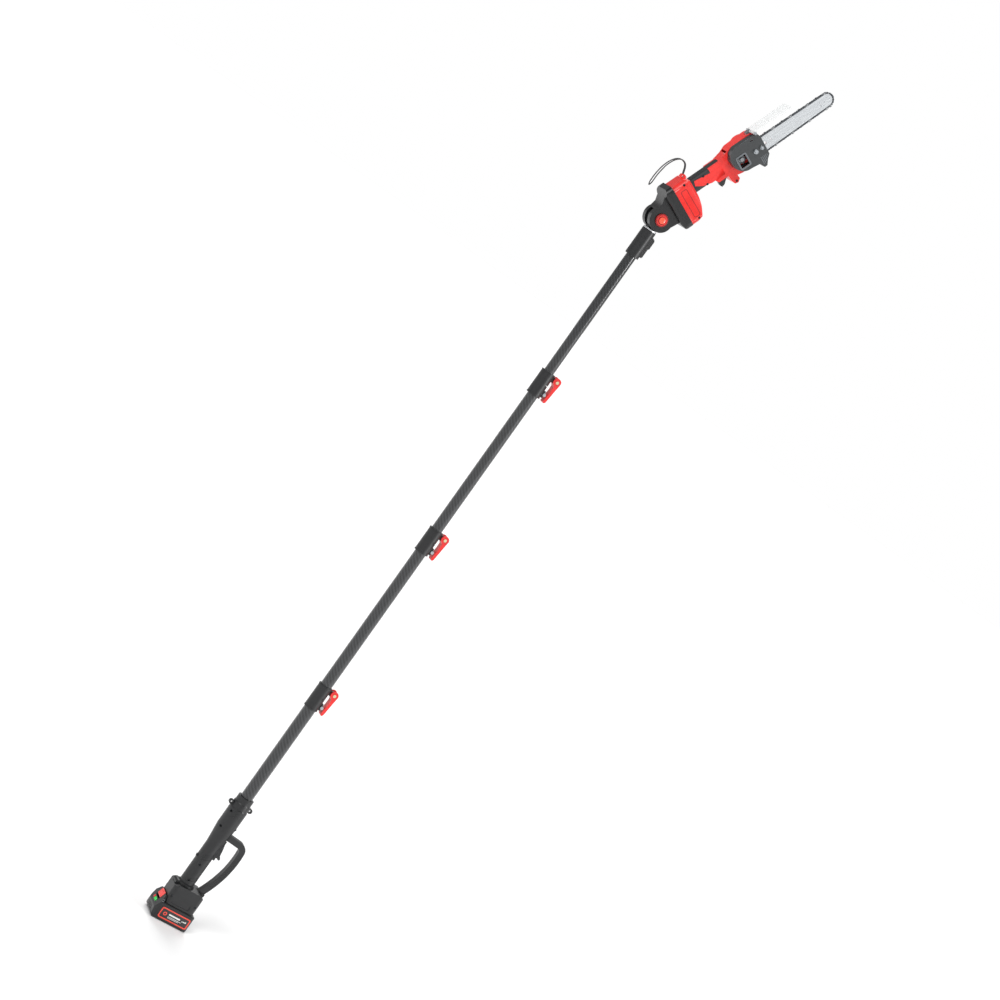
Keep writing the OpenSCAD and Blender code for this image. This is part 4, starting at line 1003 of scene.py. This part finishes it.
rivets = spaced(round_bar(rivet_line), link_pitch)
strap_shape = [(-2.2, -0.9), (-1.2, -2.0), (7.7, -2.0), (8.7, -0.9), (8.7, 0.9), (7.7, 1.9),
               (3.25, 1.3), (-1.2, 1.9), (-2.2, 0.9)]
drive_shape = [(-1.9, -0.9), (0.6, -2.1), (1.8, -3.4), (4.7, -3.4), (5.9, -2.1), (8.4, -0.9),
               (8.4, 0.9), (7.5, 1.7), (-1.0, 1.7), (-1.9, 0.9)]
cutter_shape = [(-2.2, -0.9), (-1.2, -2.0), (7.7, -2.0), (8.7, -0.9), (8.7, 1.4), (7.4, 2.5),
                (6.1, 2.2), (5.4, 0.9), (4.2, 1.0), (3.8, 3.1), (-1.7, 2.6), (-2.2, 1.0)]
cutter_top = [(-1.7, 2.0), (3.4, 2.4), (3.8, 3.1), (-1.7, 2.6)]
links, cutters = bmesh.new(), bmesh.new()
for k, rivet in enumerate(rivets):
    along = (rivets[(k + 1) % len(rivets)] - rivet).normalized()
    outward = Vector((along.y, -along.x))

    def link(shape, outline, y0, y1):
        """A flat link between this rivet and the next one."""
        plate(shape, [rivet + along * s * MM + outward * d * MM for s, d in outline],
              chain_y + y0 * MM, chain_y + y1 * MM)

    turned(links, Vector((rivet.x, chain_y, rivet.y)), facing_near,
           [(1.0 * MM, -2.9 * MM), (1.3 * MM, -2.6 * MM), (1.3 * MM, 2.6 * MM),
            (1.0 * MM, 2.9 * MM)], 8)
    if k % 2:
        link(links, drive_shape, -0.65, 0.65)
        continue
    cut_side = {0: -1, 4: 1}.get(k % 8, 0)
    for side in (-1, 1):
        if side == cut_side:
            link(cutters, cutter_shape, side * 0.8, side * 2.3)
            link(cutters, cutter_top, side * -0.6, side * 2.3)
        else:
            link(links, strap_shape, side * 0.8, side * 2.3)
blued_steel = machined("oiled_blued_chain_steel", "#3B3D41", "#6E7175", 0.36, 1.4 * MM)
chromed = machined("chromed_cutter_steel", "#9DA0A4", "#D9DBDD", 0.26, 1.4 * MM)
chain_links = finished(built("saw_chain_links", on_head(links)), "head",
                       [blued_steel])
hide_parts("saw_chain")
finished(built("saw_chain_cutters", on_head(cutters)), "head", [chromed])

# Nose sprocket: a hardened steel star wheel that turns the chain round the bar's tip.
refinish("nose_sprocket", "steel", blued_steel)


# Chip baffle: clear polycarbonate, bent along one edge and hinged on a steel pin beside the bar.
# It throws chips away from the user, and is hazed all over by them.
def clear_polycarbonate():
    """Clear polycarbonate with a fine haze of scratches that catches the light. It shows what is
    behind it without bending it, as a thin sheet does."""
    clear = new_material("hazed_clear_polycarbonate")
    haze = cloudy(clear, 1 / (6 * MM), Detail=6, Roughness=0.7)
    return plain(clear, {
        "Base Color": two_tone(clear, haze, "#EDF1F1", "#FFFFFF"), "IOR": 1.585, "Alpha": 0.42,
        "Roughness": ranged(clear, haze, 0.08, 0.34)})


clear_sheet = clear_polycarbonate()
moulded("chip_baffle", "chip_baffle", [clear_sheet, clear_sheet], 0.8 * MM)

# Baffle's pin and lug: a zinc-plated steel lug bolted to the housing, and the pin through it.
refinish("baffle_screws", "steel", zinc_steel)
